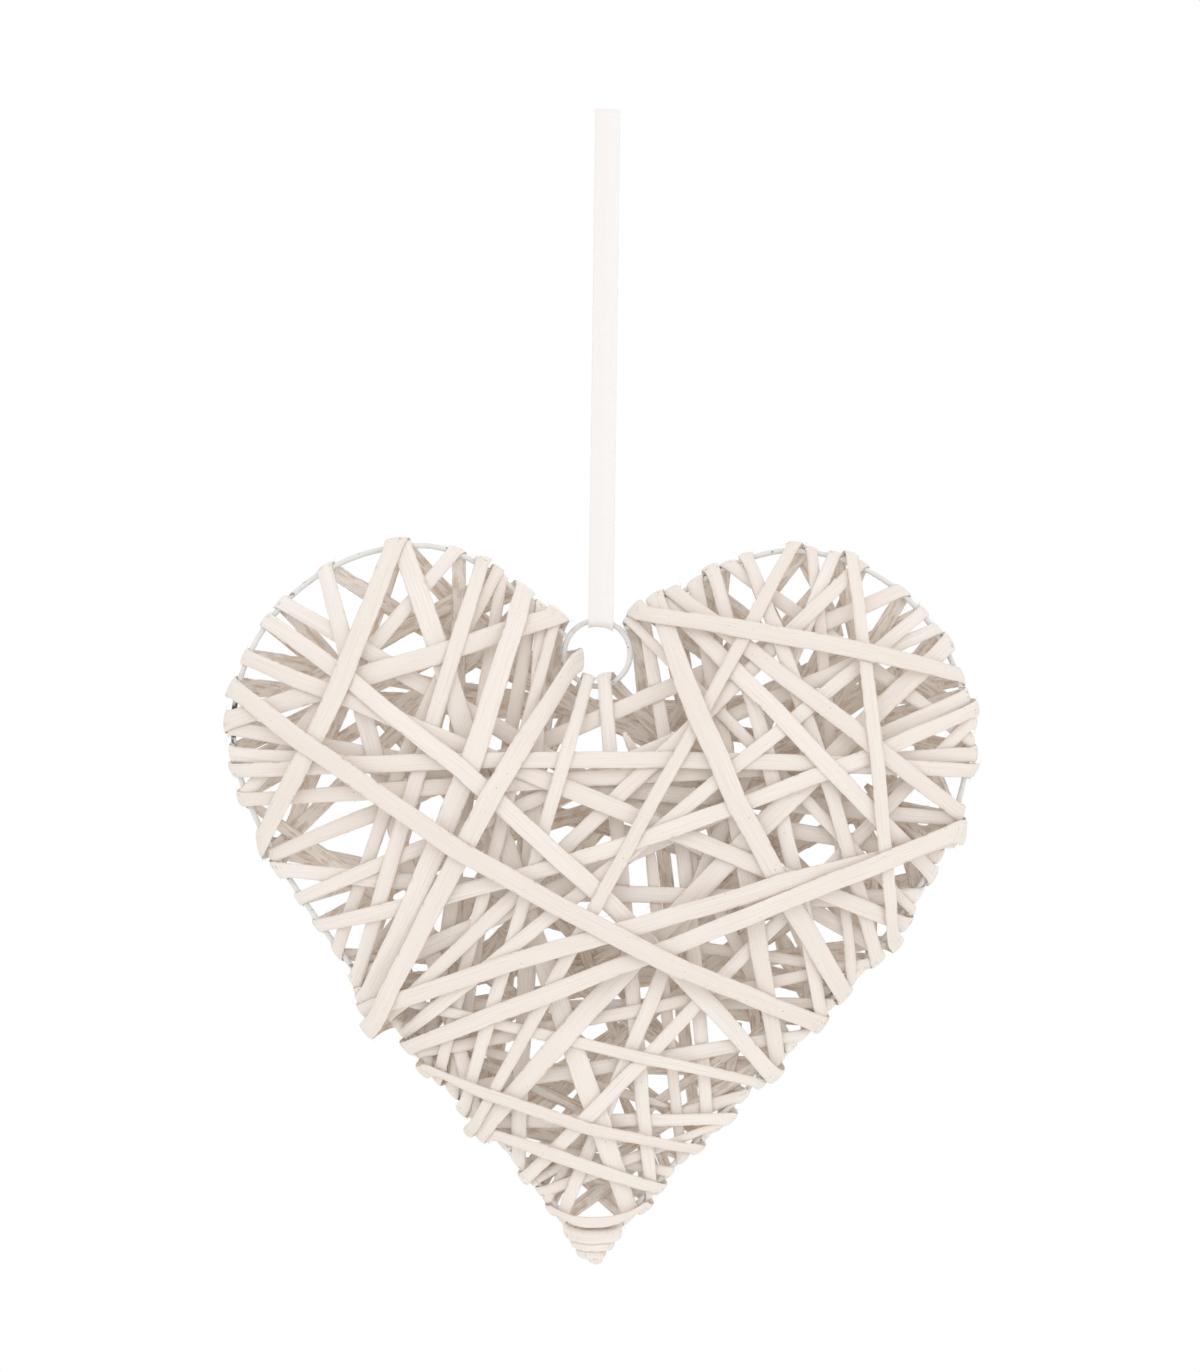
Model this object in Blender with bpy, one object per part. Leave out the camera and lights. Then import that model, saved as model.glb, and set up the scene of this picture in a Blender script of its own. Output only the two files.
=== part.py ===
"""Wicker heart: long split-willow strips wound round a heart-shaped wire, hung by a ribbon.

Metres, +Z up. The heart stands in the XZ plane and faces -Y. The origin is the place that
it hangs from, the inside of the ribbon's upper fold.

The strips are laid as a maker winds them. Each is one long band that runs across the front,
folds round the wire, runs across the back, folds round again, and so on. Every run is pulled
taut over all that already lies on its face, so the heart swells where most runs cross.
"""

import bmesh
import bpy
import numpy as np
from math import ceil, cos, pi, radians, sin, sqrt
from mathutils import Vector
from mathutils.geometry import interpolate_bezier

# Heart wire
HEART_WIDTH = 0.2953
HEART_HEIGHT = 0.2830
WIRE_DIAMETER = 0.0022
WIRE_STEP = 0.015
WIRE_ROUND_STEPS = 2
TIP_BEND = 0.0032
TIP_CARE = 0.006
TIP_STEPS = 8

# Hanging ring, a close coil of the same kind of wire
RING_DIAMETER = 0.0264
RING_WIRE = 0.0022
RING_TURNS = 2
RING_POINTS = 18
RING_ASIDE = -0.0013
RING_CROSSING = 110
RING_HALF_CROSSING = 30.0
RING_SLACK = 0.0002
LOBES_OVER_RING = 0.0423

# Ribbon
RIBBON_WIDTH = 0.010
RIBBON_THICKNESS = 0.0005
RIBBON_DROP = 0.2051
PEG_ROOM = 0.0085
RING_BEND_ROOM = 0.001
RIBBON_BEND_STEPS = 8
RIBBON_LEG_STEPS = 3

# Willow strips
STRIP_THICKNESS = 0.0010
LAYING_GAP = 0.0003
BULGE = 0.010
BULGE_REACH = 0.085
TAIL_LENGTH = 0.040
STEEPEST_FOLD = 1.0
MOST_DRIFT = 0.0035
PINCH = 0.85
MOST_ROLL = 0.30
MOST_TILT = 0.45
RUN_CLIMB = 0.45
EDGE_ROOM = 0.0050
EDGE_CLIMB = 0.2
BOW_STEP = 0.003
BOW_TRIES = 16
TURN_LENGTH = 0.025
ROLL_LENGTH = 0.030
TAIL_SHARES = (1.0, 0.8, 0.6, 0.45)
TAIL_TURNS = (0, 10, -10, 20, -20, 30, -30, 42, -42, 55, -55, 70, -70)
TAIL_POINTS = 12
LEAST_INWARD = 0.05

# Binding round the tip
BINDING_WIDTH = 0.0027
BINDING_THICKNESS = 0.0008
BINDING_TURNS = 3
BINDING_TURN_STEPS = 8
BINDING_ROUND = 1.25
TIP_COVER = -0.0002

# Fineness of the laying
CELL = 0.0008
SAMPLE = 0.0012
BEZIER_STEPS = 240
RIM_STEP = 0.5
RIM_REACH = 0.7
GRID_MARGIN = 0.02
LONGEST_PIECE = 0.080
SHORTEST_PIECE = 0.006
SAG = 5.0
SLACK = 0.0008
END_CARE = 0.030
END_EASE = 0.25
END_ROOM = 0.004
MOST_LIFT = 0.001
LEAST_LIFT = 0.00002
LEAST_GAIN = 0.02
THICK_CARE = 1.03
INWARD_LOOK = 0.0015
TILT_COST = 0.0008
TILT_STEPS = 25
BOW_STEPS = 80
SIDE_STEPS = 9
LAYING_ROUNDS = 10
SETTLING_ROUNDS = 3

# Marks along the rim: over the heart wire from the ring round the left lobe to the tip, on
# round the right lobe to the ring, then over the lower half of the ring back to the left.
TIP_MARK = 444.0
WIRE_MARKS = 895.0
RING_MARKS = 60.0

# Outline of the heart wire: percent of the width aside, percent of the height below the
# lobes, direction of the wire in degrees, and its handles before and after, in percent of width.
LEFT_OUTLINE = (
    (-24.4, 0.0, 180, 8.1, 13.9),
    (-49.8, 26.1, 270, 13.9, 8.8),
    (-38.4, 52.7, 306, 8.8, 15.2),
    (-16.3, 79.5, 313, 10.2, 6.8),
)
RIGHT_OUTLINE = (
    (17.6, 79.9, 46, 6.8, 10.2),
    (38.6, 55.5, 52, 10.2, 8.5),
    (50.2, 26.9, 90, 9.5, 13.9),
    (25.7, 0.0, 180, 13.5, 7.5),
)
TIP_BELOW = 99.8
TIP_DIRECTIONS = (305, 52)
TIP_HANDLE = 7.4
RING_JOINS = (152, 42)
JOIN_DIRECTIONS = (143, 212)
JOIN_HANDLES = (4.0, 6.1)

# Each strip is a row of its runs over the front, in the order of winding: the mark it starts
# from, the mark it ends at, its width in mm, and how far its middle bows to the left, in mm.
STRIPS = (
    ((887, 512, 5.8, 4), (212, 56, 6, 0), (359, 566, 6, 0)),
    ((655, 186, 6.5, 0), (33, 341, 5.6, 0), (706, 845, 6, 0)),
    ((356, 18, 6, 0), (240, 773, 6.8, 0), (413, 516, 5, 0)),
    ((377, 520, 5.5, 0), (130, 612, 7, 0), (924, 479, 6, 0)),
    ((372, 110, 7.2, 0), (672, 196, 6.5, 0), (12, 396, 7, 0)),
    ((604, 338, 5.2, 0), (811, 596, 5, 0), (284, 37, 5.8, 5)),
    ((423, 803, 6, 0), (637, 246, 6.6, 4), (76, 467, 8.6, 0)),
    ((300, 722, 7, 0), (260, 752, 6, 0), (403, 712, 5.8, 0)),
    ((862, 552, 7.5, 0), (348, 7, 5.2, 0), (216, 699, 6.5, 0)),
    ((890, 633, 4.8, 0), (181, 9, 8.5, 0), (381, 481, 5.5, 0)),
    ((298, 44, 6.2, 0), (306, 540, 4.6, 0), (853, 577, 6.5, 4)),
    ((376, 744, 8.3, 4), (318, 792, 6, 0), (422, 471, 5, 0)),
    ((610, 838, 6, -3), (625, 157, 7, 0), (692, 203, 6.6, -5)),
    ((364, 931, 5.6, 0), (328, 760, 5.8, 0), (274, 716, 6.5, -7)),
    ((23, 307, 8.4, 5.6), (650, 875, 7, 0), (546, 140, 7.5, -9)),
    ((869, 676, 7, 0), (372, 820, 5.4, 0)),
    ((880, 590, 8.5, -5.5), (231, 80, 8.2, -3), (661, 312, 7.3, -3)),
    ((941, 316, 8, -3), (620, 795, 5.5, 0), (335, 668, 7.4, 0)),
    ((346, 503, 5, -4), (885, 732, 7, 2), (172, 573, 8, -10.5)),
)

RIBBON_COLOUR = (0.90, 0.87, 0.84)
WILLOW_COLOUR = (0.88, 0.83, 0.78)
WIRE_COLOUR = (0.80, 0.80, 0.79)

FRONT = -1.0
BACK = 1.0
NOTHING = 0.0
FOLD_CORNER = sqrt(2.0) - 1.0

ring_centre = np.array([RING_ASIDE, -RIBBON_DROP - RING_DIAMETER / 2])
lobe_top = ring_centre[1] + LOBES_OVER_RING
ring_depth = (RING_TURNS - 1) / 2 * (RING_WIRE + LAYING_GAP) + RING_WIRE / 2


def unit(v):
    return v / np.linalg.norm(v)


def heading(degrees):
    return np.array([cos(radians(degrees)), sin(radians(degrees))])


def bezier_chain(knots):
    """Points of a smooth line through knots of place, direction, handle before and after."""
    line = []
    for (start, a0, before0, h0), (end, a1, h1, after1) in zip(knots, knots[1:]):
        b = start + h0 * heading(a0)
        c = end - h1 * heading(a1)
        corners = [Vector((*p, 0.0)) for p in (start, b, c, end)]
        line.extend(interpolate_bezier(*corners, BEZIER_STEPS)[:-1])
    line.append(Vector((*knots[-1][0], 0.0)))
    return np.array([p[:2] for p in line])


def lengths(line):
    return np.concatenate(([0.0], np.cumsum(np.linalg.norm(np.diff(line, axis=0), axis=1))))


def heart_halves():
    """Centre lines of the heart wire, from the ring to the tip and from the tip to the ring."""
    reach = RING_DIAMETER / 2 + RING_WIRE / 2 + LAYING_GAP
    tip = lobe_top - HEART_HEIGHT * TIP_BELOW / 100

    def knot(row):
        place = np.array([HEART_WIDTH * row[0] / 100, lobe_top - HEART_HEIGHT * row[1] / 100])
        return place, row[2], HEART_WIDTH * row[3] / 100, HEART_WIDTH * row[4] / 100

    first = ring_centre + reach * heading(RING_JOINS[0])
    last = ring_centre + reach * heading(RING_JOINS[1])
    handle = HEART_WIDTH * TIP_HANDLE / 100
    left = [(first, JOIN_DIRECTIONS[0], 0.0, HEART_WIDTH * JOIN_HANDLES[0] / 100)]
    left += [knot(row) for row in LEFT_OUTLINE]
    left.append((np.array([-TIP_BEND / 2, tip]), TIP_DIRECTIONS[0], handle, 0.0))
    right = [(np.array([TIP_BEND / 2, tip]), TIP_DIRECTIONS[1], 0.0, handle)]
    right += [knot(row) for row in RIGHT_OUTLINE]
    right.append((last, JOIN_DIRECTIONS[1], HEART_WIDTH * JOIN_HANDLES[1] / 100, 0.0))
    bend = bezier_chain([
        (left[-1][0], TIP_DIRECTIONS[0], 0.0, TIP_BEND / 2),
        (right[0][0], TIP_DIRECTIONS[1], TIP_BEND / 2, 0.0),
    ])
    half = len(bend) // 2
    return (
        np.vstack([bezier_chain(left), bend[1:half + 1]]),
        np.vstack([bend[half:-1], bezier_chain(right)]),
    )


def ring_angle(mark):
    share = (mark - WIRE_MARKS) / RING_MARKS
    return radians(RING_JOINS[1] - (360 + RING_JOINS[1] - RING_JOINS[0]) * share)


def mark_range(mark):
    """First and last mark of the wire that a mark is on."""
    return (WIRE_MARKS + 0.01, WIRE_MARKS + RING_MARKS) if mark > WIRE_MARKS else (0.0, WIRE_MARKS)


left_half, right_half = heart_halves()
left_along = lengths(left_half)
right_along = lengths(right_half)
wire_line = np.vstack([left_half[:-1], right_half])
wire_along = lengths(wire_line)


def rim_point(mark):
    """Place of a mark on the rim."""
    if mark > WIRE_MARKS:
        a = ring_angle(mark)
        return ring_centre + RING_DIAMETER / 2 * np.array([cos(a), sin(a)])
    if mark < TIP_MARK:
        line, along, share = left_half, left_along, mark / TIP_MARK
    else:
        line, along, share = right_half, right_along, (mark - TIP_MARK) / (WIRE_MARKS - TIP_MARK)
    at = along[-1] * share
    return np.array([np.interp(at, along, line[:, 0]), np.interp(at, along, line[:, 1])])


def rim_frame(mark):
    """Place, direction along the rim and direction out of the heart at a mark."""
    low, high = mark_range(mark)
    t = unit(rim_point(min(mark + RIM_REACH, high)) - rim_point(max(mark - RIM_REACH, low)))
    return rim_point(mark), t, np.array([t[1], -t[0]])


rim_marks = np.arange(0.0, WIRE_MARKS + RING_MARKS, RIM_STEP)
rim_points = np.array([rim_point(m) for m in rim_marks])
on_ring = rim_marks > WIRE_MARKS
METRES_PER_MARK = wire_along[-1] / WIRE_MARKS

# Size of all that is wound on the rim, as a radius round the wire
rim_pile = np.where(on_ring, ring_depth + RING_SLACK, WIRE_DIAMETER / 2)

# Grids of heights over the plane of the wire, one for each face
grid_low = rim_points.min(axis=0) - GRID_MARGIN
grid_high = rim_points.max(axis=0) + GRID_MARGIN
columns, rows = (int(n) for n in np.ceil((grid_high - grid_low) / CELL))
grid_x, grid_z = np.meshgrid(
    grid_low[0] + (np.arange(columns) + 0.5) * CELL,
    grid_low[1] + (np.arange(rows) + 0.5) * CELL,
    indexing="ij",
)


def distance_to_rim():
    """Distance of each cell to the rim, more than nothing inside the heart."""
    nearest = np.full(grid_x.shape, np.inf)
    for x, z in rim_points[::3]:
        np.minimum(nearest, (grid_x - x) ** 2 + (grid_z - z) ** 2, out=nearest)
    inside = np.zeros(grid_x.shape, bool)
    loop = rim_points[::2]
    for (x0, z0), (x1, z1) in zip(loop, np.roll(loop, -1, axis=0)):
        if z0 != z1:
            crosses = (grid_z > min(z0, z1)) & (grid_z <= max(z0, z1))
            inside ^= crosses & (grid_x < x0 + (grid_z - z0) * (x1 - x0) / (z1 - z0))
    return np.where(inside, 1.0, -1.0) * np.sqrt(nearest)


rim_distance = distance_to_rim()
dome = BULGE * np.sin(pi / 2 * np.clip(rim_distance / BULGE_REACH, 0.0, 1.0))
dome_slope = np.stack(np.gradient(dome, CELL))


def bare_heights():
    """What lies on a face before any strip: the swell, and the wires round it."""
    heights = np.where(rim_distance > 0.0, dome, NOTHING)
    heights[np.abs(rim_distance) < WIRE_DIAMETER / 2 + CELL] = WIRE_DIAMETER / 2
    from_ring = np.hypot(grid_x - ring_centre[0], grid_z - ring_centre[1]) - RING_DIAMETER / 2
    heights[np.abs(from_ring) < RING_WIRE / 2 + CELL] = ring_depth
    return heights


laid = {FRONT: bare_heights(), BACK: bare_heights()}


def cells(places):
    index = ((places - grid_low) / CELL).astype(int)
    return np.clip(index[..., 0], 1, columns - 2), np.clip(index[..., 1], 1, rows - 2)


def look(grid, places):
    return grid[cells(places)]


def look_around(grid, places):
    """Highest of a place's cell and the cells beside it."""
    i, j = cells(places)
    found = grid[i, j]
    for di in (-1, 0, 1):
        for dj in (-1, 0, 1):
            found = np.maximum(found, grid[i + di, j + dj])
    return found


def raise_to(grid, places, heights):
    i, j = cells(places)
    np.maximum.at(grid, (i.ravel(), j.ravel()), heights.ravel())


def share_points(a, b, step):
    """Points of the two triangles between two rulings, and each point's share of the way."""
    steps = max(2, ceil(np.linalg.norm((b[0] + b[1] - a[0] - a[1])[:2]) / 2 / step))
    across = max(3, ceil(np.linalg.norm((a[1] - a[0])[:2]) / step) + 1)
    along, side = np.meshgrid(np.linspace(0, 1, steps + 1), np.linspace(0, 1, across), indexing="ij")
    along, side = along[..., None], side[..., None]
    early = a[0] + along * (b[0] - a[0]) + side * (b[1] - b[0])
    late = a[0] + side * (a[1] - a[0]) + along * (b[1] - a[1])
    return np.where(along >= side, early, late), along[..., 0]


def steepness(a, b):
    """How much longer the surface between two rulings is than its plan."""
    run = np.linalg.norm((b[0] + b[1] - a[0] - a[1])[:2]) / 2
    slope = (b[0][2] + b[1][2] - a[0][2] - a[1][2]) / 2 / max(run, 1e-6)
    roll = (a[1][2] - a[0][2]) / max(np.linalg.norm((a[1] - a[0])[:2]), 1e-6)
    return sqrt(1 + slope * slope + roll * roll)


def upper_hull(at, heights):
    """Corners of a taut string over heights along a line."""
    keep = []
    for k in range(len(at)):
        while len(keep) > 1:
            i, j = keep[-2], keep[-1]
            if (heights[j] - heights[i]) * (at[k] - at[i]) > (heights[k] - heights[i]) * (at[j] - at[i]):
                break
            keep.pop()
        keep.append(k)
    return keep


def choose_nodes(at, heights):
    """The fewest places that follow a taut string closely enough."""
    sag = SAG * at * at / 2
    hull = upper_hull(at, heights - sag)
    string = np.interp(at, at[hull], (heights - sag)[hull]) + sag
    nodes = [0, len(at) - 1]
    while True:
        drop = string - np.interp(at, at[nodes], string[nodes])
        drop /= np.clip(np.minimum(at, at[-1] - at) / END_CARE, END_EASE, 1.0)
        for n in nodes:
            drop[np.abs(at - at[n]) < SHORTEST_PIECE] = 0.0
        worst = int(np.argmax(drop))
        if drop[worst] < SLACK:
            wide = [k for k in range(len(nodes) - 1) if at[nodes[k + 1]] - at[nodes[k]] > LONGEST_PIECE]
            if not wide:
                break
            k = max(wide, key=lambda k: at[nodes[k + 1]] - at[nodes[k]])
            worst = (nodes[k] + nodes[k + 1]) // 2
        nodes = sorted(nodes + [worst])
    return nodes, string


class Contact:
    """A fold round the rim, with what its two runs need to know."""

    def __init__(self, mark, width, arrives, leaves, face):
        self.mark = mark
        self.width = width
        self.face = face
        self.point, self.t, self.n = rim_frame(mark)
        self.tan_in = self.skew(arrives, arrives @ self.n)
        self.tan_out = self.skew(leaves, -(leaves @ self.n))
        self.radius = 0.0
        self.tilt = 0.0
        self.side = 1.0 if face == FRONT else -1.0

    def skew(self, direction, outward):
        lean = (direction @ self.t) / max(outward, LEAST_INWARD)
        return float(np.clip(lean, -STEEPEST_FOLD, STEEPEST_FOLD))

    def place(self, radius):
        """Marks and half lengths of the fold's rulings and of both its ends on the rim."""
        total = (2 + 6 * FOLD_CORNER) * radius
        way = np.array([0.0, 1, 3, 5, 7, 8]) * FOLD_CORNER * radius
        way[-1] = total
        change = self.tan_out - self.tan_in
        drift = self.tan_in * way + change * way * way / (2 * total)
        drift *= min(1.0, MOST_DRIFT / max(np.abs(drift).max(), 1e-6))
        if self.face == BACK:
            drift = drift - drift[-1]
        tans = self.tan_in + change * way / total
        half = PINCH * self.width / 2 * np.sqrt(1 + tans * tans)
        marks = self.mark + drift / METRES_PER_MARK
        room = half / METRES_PER_MARK + RIM_STEP
        low, high = mark_range(self.mark)
        return np.clip(marks, low + room, high - room), half

    def settle(self):
        """Find the fold's radius and tilt over what is on the rim here, then take its room."""
        half_thick = STRIP_THICKNESS / 2
        radius = rim_pile.min()
        for again in range(SETTLING_ROUNDS):
            marks, half = self.place(radius)
            span = half / METRES_PER_MARK + RIM_REACH
            under = (rim_marks >= (marks - span).min()) & (rim_marks <= (marks + span).max())
            under &= on_ring == (self.mark > WIRE_MARKS)
            middle = rim_frame(float(marks.mean()))
            bulge = (rim_points[under] - middle[0]) @ middle[2]
            aside = (rim_points[under] - middle[0]) @ middle[1]
            need = rim_pile[under] + np.maximum(bulge, 0.0)
            for inward in (0.0, INWARD_LOOK):
                spots = rim_points[under] - inward * middle[2]
                for heights in laid.values():
                    climb = RUN_CLIMB * (inward + FOLD_CORNER * radius)
                    need = np.maximum(need, look(heights, spots) - climb)
            radius, tilt = least_line(aside, need + LAYING_GAP + half_thick)
        self.radius, self.tilt = radius, tilt
        self.marks, self.half = self.place(radius)
        self.middle = float(marks.mean())
        top = radius + tilt * aside + half_thick + np.maximum(-bulge, 0.0)
        rim_pile[under] = np.maximum(rim_pile[under], top)

    def ruling(self, k, more):
        """The k-th of four rulings of the fold, more than the middle radius by a given amount."""
        point, t, n = rim_frame(self.marks[k + 1])
        out, off = ((FOLD_CORNER, 1), (1, FOLD_CORNER), (1, -FOLD_CORNER), (FOLD_CORNER, -1))[k]
        shift = (self.marks[k + 1] - self.middle) * METRES_PER_MARK
        ends = []
        for side in (1, -1):
            along = self.side * side * self.half[k + 1]
            radius = self.radius + self.tilt * (shift + along) + more
            place = point + out * radius * n + along * t
            ends.append(np.array([*place, off * radius * self.face]))
        return tuple(ends)


def least_line(at, need):
    """Middle height and slope of the lowest straight line over some heights."""
    best = None
    for slope in np.linspace(-MOST_TILT, MOST_TILT, TILT_STEPS):
        middle = (need - slope * at).max()
        cost = middle + TILT_COST * abs(slope) / MOST_TILT
        if best is None or cost < best[0]:
            best = (cost, middle, slope)
    return best[1], best[2]


def bowed(start, end, bow, u):
    """Place, direction and left-hand side of a path that bows off the straight line."""
    chord = end - start
    length = np.linalg.norm(chord)
    along = chord / length
    left = np.array([-along[1], along[0]])
    u = np.asarray(u, float)[..., None]
    place = start + chord * u + left * bow * 4 * u * (1 - u)
    direction = along * length + left * bow * 4 * (1 - 2 * u)
    return place, direction / np.linalg.norm(direction, axis=-1, keepdims=True)


def bow_inside(start, end, bow, half):
    """The least change of a bow that keeps the path inside the heart."""
    u = np.linspace(0, 1, BOW_STEPS)
    for step in range(BOW_TRIES):
        for sign in (1, -1):
            tried = bow + sign * step * BOW_STEP
            places, _ = bowed(start, end, tried, u)
            from_end = np.minimum(lengths(places), lengths(places)[-1] - lengths(places))
            free = look(rim_distance, places) - np.minimum(EDGE_CLIMB * from_end, half + EDGE_ROOM)
            if free[from_end > END_ROOM].min() > 0.0:
                return tried
    return bow


def lay_run(first, last, face, bow, widths):
    """Rulings of one taut run between two rulings that are already fixed, either may be free.

    Heights are counted out from the plane of the wire on the run's own face.
    """
    start, end = (first[0] + first[1]) / 2, (last[0] + last[1]) / 2
    grid = laid[face]
    length = np.linalg.norm(end[:2] - start[:2])
    count = max(6, ceil(length / SAMPLE))
    u = np.linspace(0, 1, count + 1)
    places, directions = bowed(start[:2], end[:2], bow, u)
    at = u * length
    halves = (widths[0] + (widths[1] - widths[0]) * u) / 2
    lefts = -face * np.stack([-directions[:, 1], directions[:, 0]], axis=-1)
    slope = np.stack([look(dome_slope[0], places), look(dome_slope[1], places)], axis=-1)
    # the lateral turns from the rim's direction to square across the run
    blend = np.clip(at / TURN_LENGTH, 0, 1)[:, None]
    skewed = (first[0] - first[1])[:2] / 2 * (1 - blend) + lefts * halves[:, None] * blend
    blend = np.clip((length - at) / TURN_LENGTH, 0, 1)[:, None]
    skewed = (last[0] - last[1])[:2] / 2 * (1 - blend) + skewed * blend
    near_end = np.clip(np.minimum(at, length - at) / ROLL_LENGTH, 0.0, 1.0)
    rises = np.clip(np.sum(slope * skewed, axis=1), -MOST_ROLL * halves, MOST_ROLL * halves) * near_end
    need = np.full(count + 1, -1.0)
    half_thick = STRIP_THICKNESS / 2 * THICK_CARE
    for share in np.linspace(-1, 1, SIDE_STEPS):
        heights = look_around(grid, places + skewed * share)
        need = np.maximum(need, heights - share * rises)
    need += LAYING_GAP + half_thick
    need[0], need[-1] = start[2], end[2]
    nodes, string = choose_nodes(at, need)
    heights = string[nodes]

    def build(heights):
        rulings = [first]
        for k, node in enumerate(nodes[1:-1], 1):
            rulings.append((
                np.array([*(places[node] + skewed[node]), heights[k] + rises[node]]),
                np.array([*(places[node] - skewed[node]), heights[k] - rises[node]]),
            ))
        rulings.append(last)
        return rulings

    for again in range(LAYING_ROUNDS):
        rulings = build(heights)
        lifted = False
        for k in range(len(nodes) - 1):
            points, way = share_points(rulings[k], rulings[k + 1], SAMPLE)
            thick = STRIP_THICKNESS / 2 * steepness(rulings[k], rulings[k + 1])
            short = look_around(grid, points[..., :2]) + LAYING_GAP + thick - points[..., 2]
            free_a, free_b = k > 0, k < len(nodes) - 2
            gain = free_a * (1 - way) ** 2 + free_b * way ** 2
            piece = at[nodes[k + 1]] - at[nodes[k]]
            from_fixed = np.minimum(way * piece + 1.0 * free_a, (1 - way) * piece + 1.0 * free_b)
            counts = (from_fixed > END_ROOM) & (gain > LEAST_GAIN)
            short = np.where(counts, np.minimum(short, MOST_LIFT), 0.0)
            worst = np.unravel_index(int(np.argmax(short)), short.shape)
            if short[worst] > LEAST_LIFT:
                lifted = True
                w = way[worst]
                if free_a:
                    heights[k] += short[worst] * (1 - w) / gain[worst]
                if free_b:
                    heights[k + 1] += short[worst] * w / gain[worst]
        if not lifted:
            break
    rulings = build(heights)
    for a, b in zip(rulings, rulings[1:]):
        points, _ = share_points(a, b, CELL / 2)
        raise_to(grid, points[..., :2], points[..., 2] + STRIP_THICKNESS / 2 * steepness(a, b))
    return rulings


def aim_tail(mark, direction, width):
    """Way into the heart for a free end, near a wanted direction but clear of the wires."""
    start = rim_point(mark)
    for share in TAIL_SHARES:
        length = share * TAIL_LENGTH
        for turn in TAIL_TURNS:
            c, d = heading(turn)
            tried = np.array([c * direction[0] - d * direction[1], d * direction[0] + c * direction[1]])
            way = np.linspace(END_ROOM, length, TAIL_POINTS)
            room = look(rim_distance, start + way[:, None] * tried)
            if (room - np.minimum(RUN_CLIMB * way, width / 2 + EDGE_ROOM)).min() > 0.0:
                return tried, length
    return direction, TAIL_SHARES[-1] * TAIL_LENGTH


def lay_tail(first, direction, length, face, width):
    """Rulings of a free end that lies on its face; it comes from the fold at its start."""
    start = (first[0] + first[1]) / 2
    end = start[:2] + direction * length
    left = -face * np.array([-direction[1], direction[0]]) * width / 2
    high = max(look_around(laid[face], end + left * share).max() for share in (-1, -0.5, 0, 0.5, 1))
    high += LAYING_GAP + STRIP_THICKNESS
    last = (np.array([*(end + left), high]), np.array([*(end - left), high]))
    return lay_run(first, last, face, 0.0, (width, width))


def reversed_run(rulings):
    """The same rulings met from the other end, where left and right change places."""
    return [(b, a) for a, b in reversed(rulings)]


def lay_strip(runs):
    """All rulings of one strip, each as left end, right end and face."""
    marks = [m for run in runs for m in run[:2]]
    widths = [run[2] / 1000 for run in runs for end in (0, 1)]
    places = [rim_point(m) for m in marks]
    faces = [FRONT if k % 2 == 0 else BACK for k in range(len(marks) - 1)]
    bows = []
    for k, face in enumerate(faces):
        wanted = runs[k // 2][3] / 1000 if face == FRONT else 0.0
        half = max(widths[k], widths[k + 1]) / 2
        bows.append(bow_inside(places[k], places[k + 1], wanted, half))
    leaves, arrives = [], []
    for k, bow in enumerate(bows):
        _, directions = bowed(places[k], places[k + 1], bow, [0.0, 1.0])
        leaves.append(directions[0])
        arrives.append(directions[1])

    def mirrored(direction, mark):
        _, t, n = rim_frame(mark)
        return (direction @ t) * t - (direction @ n) * n

    tail_in, length_in = aim_tail(marks[0], -mirrored(leaves[0], marks[0]), widths[0])
    tail_out, length_out = aim_tail(marks[-1], mirrored(arrives[-1], marks[-1]), widths[-1])
    arrives = [-tail_in] + arrives
    leaves = leaves + [tail_out]
    contacts = []
    for k, mark in enumerate(marks):
        face = BACK if k % 2 == 0 else FRONT
        contacts.append(Contact(mark, widths[k], arrives[k], leaves[k], face))
    for contact in contacts:
        contact.settle()

    def out(ruling, face):
        return tuple(np.array([p[0], p[1], p[2] * face]) for p in ruling)

    # each run's rulings as heights over its own face, then the folds between them
    chain = []
    folds = [[contact.ruling(k, 0.0) for k in range(4)] for contact in contacts]
    tail = lay_tail(out(folds[0][0][::-1], BACK), tail_in, length_in, BACK, widths[0])
    chain.append([out(r, BACK) for r in reversed_run(tail)])
    for k, face in enumerate(faces):
        run = lay_run(
            out(folds[k][3], face), out(folds[k + 1][0], face), face, bows[k], (widths[k], widths[k + 1])
        )
        chain.append([out(r, face) for r in run])
    tail = lay_tail(out(folds[-1][3], BACK), tail_out, length_out, BACK, widths[-1])
    chain.append([out(r, BACK) for r in tail])
    return chain, contacts


def corners_of(chain, contacts):
    """Four corners of the strip at each ruling: left and right outside, right and left inside."""
    half = STRIP_THICKNESS / 2
    rings = []
    for k, run in enumerate(chain):
        face = BACK if k % 2 == 0 else FRONT
        middles = np.array([(a + b) / 2 for a, b in run])
        for j, (left, right) in enumerate(run):
            at_fold = (j == 0 and k > 0) or (j == len(run) - 1 and k < len(contacts))
            if at_fold:
                continue
            before = middles[max(j - 1, 0)]
            after = middles[min(j + 1, len(run) - 1)]
            way = after - before
            normal = unit(np.cross(right - left, way))
            if normal[2] * face < 0:
                normal = -normal
            step = normal * half
            rings.append((left + step, right + step, right - step, left - step))
        if k < len(contacts):
            contact = contacts[k]
            for j in range(4):
                outer = contact.ruling(j, half)
                inner = contact.ruling(j, -half)
                rings.append((outer[0], outer[1], inner[1], inner[0]))
    return [[Vector((p[0], p[2], p[1])) for p in ring] for ring in rings]


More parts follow.
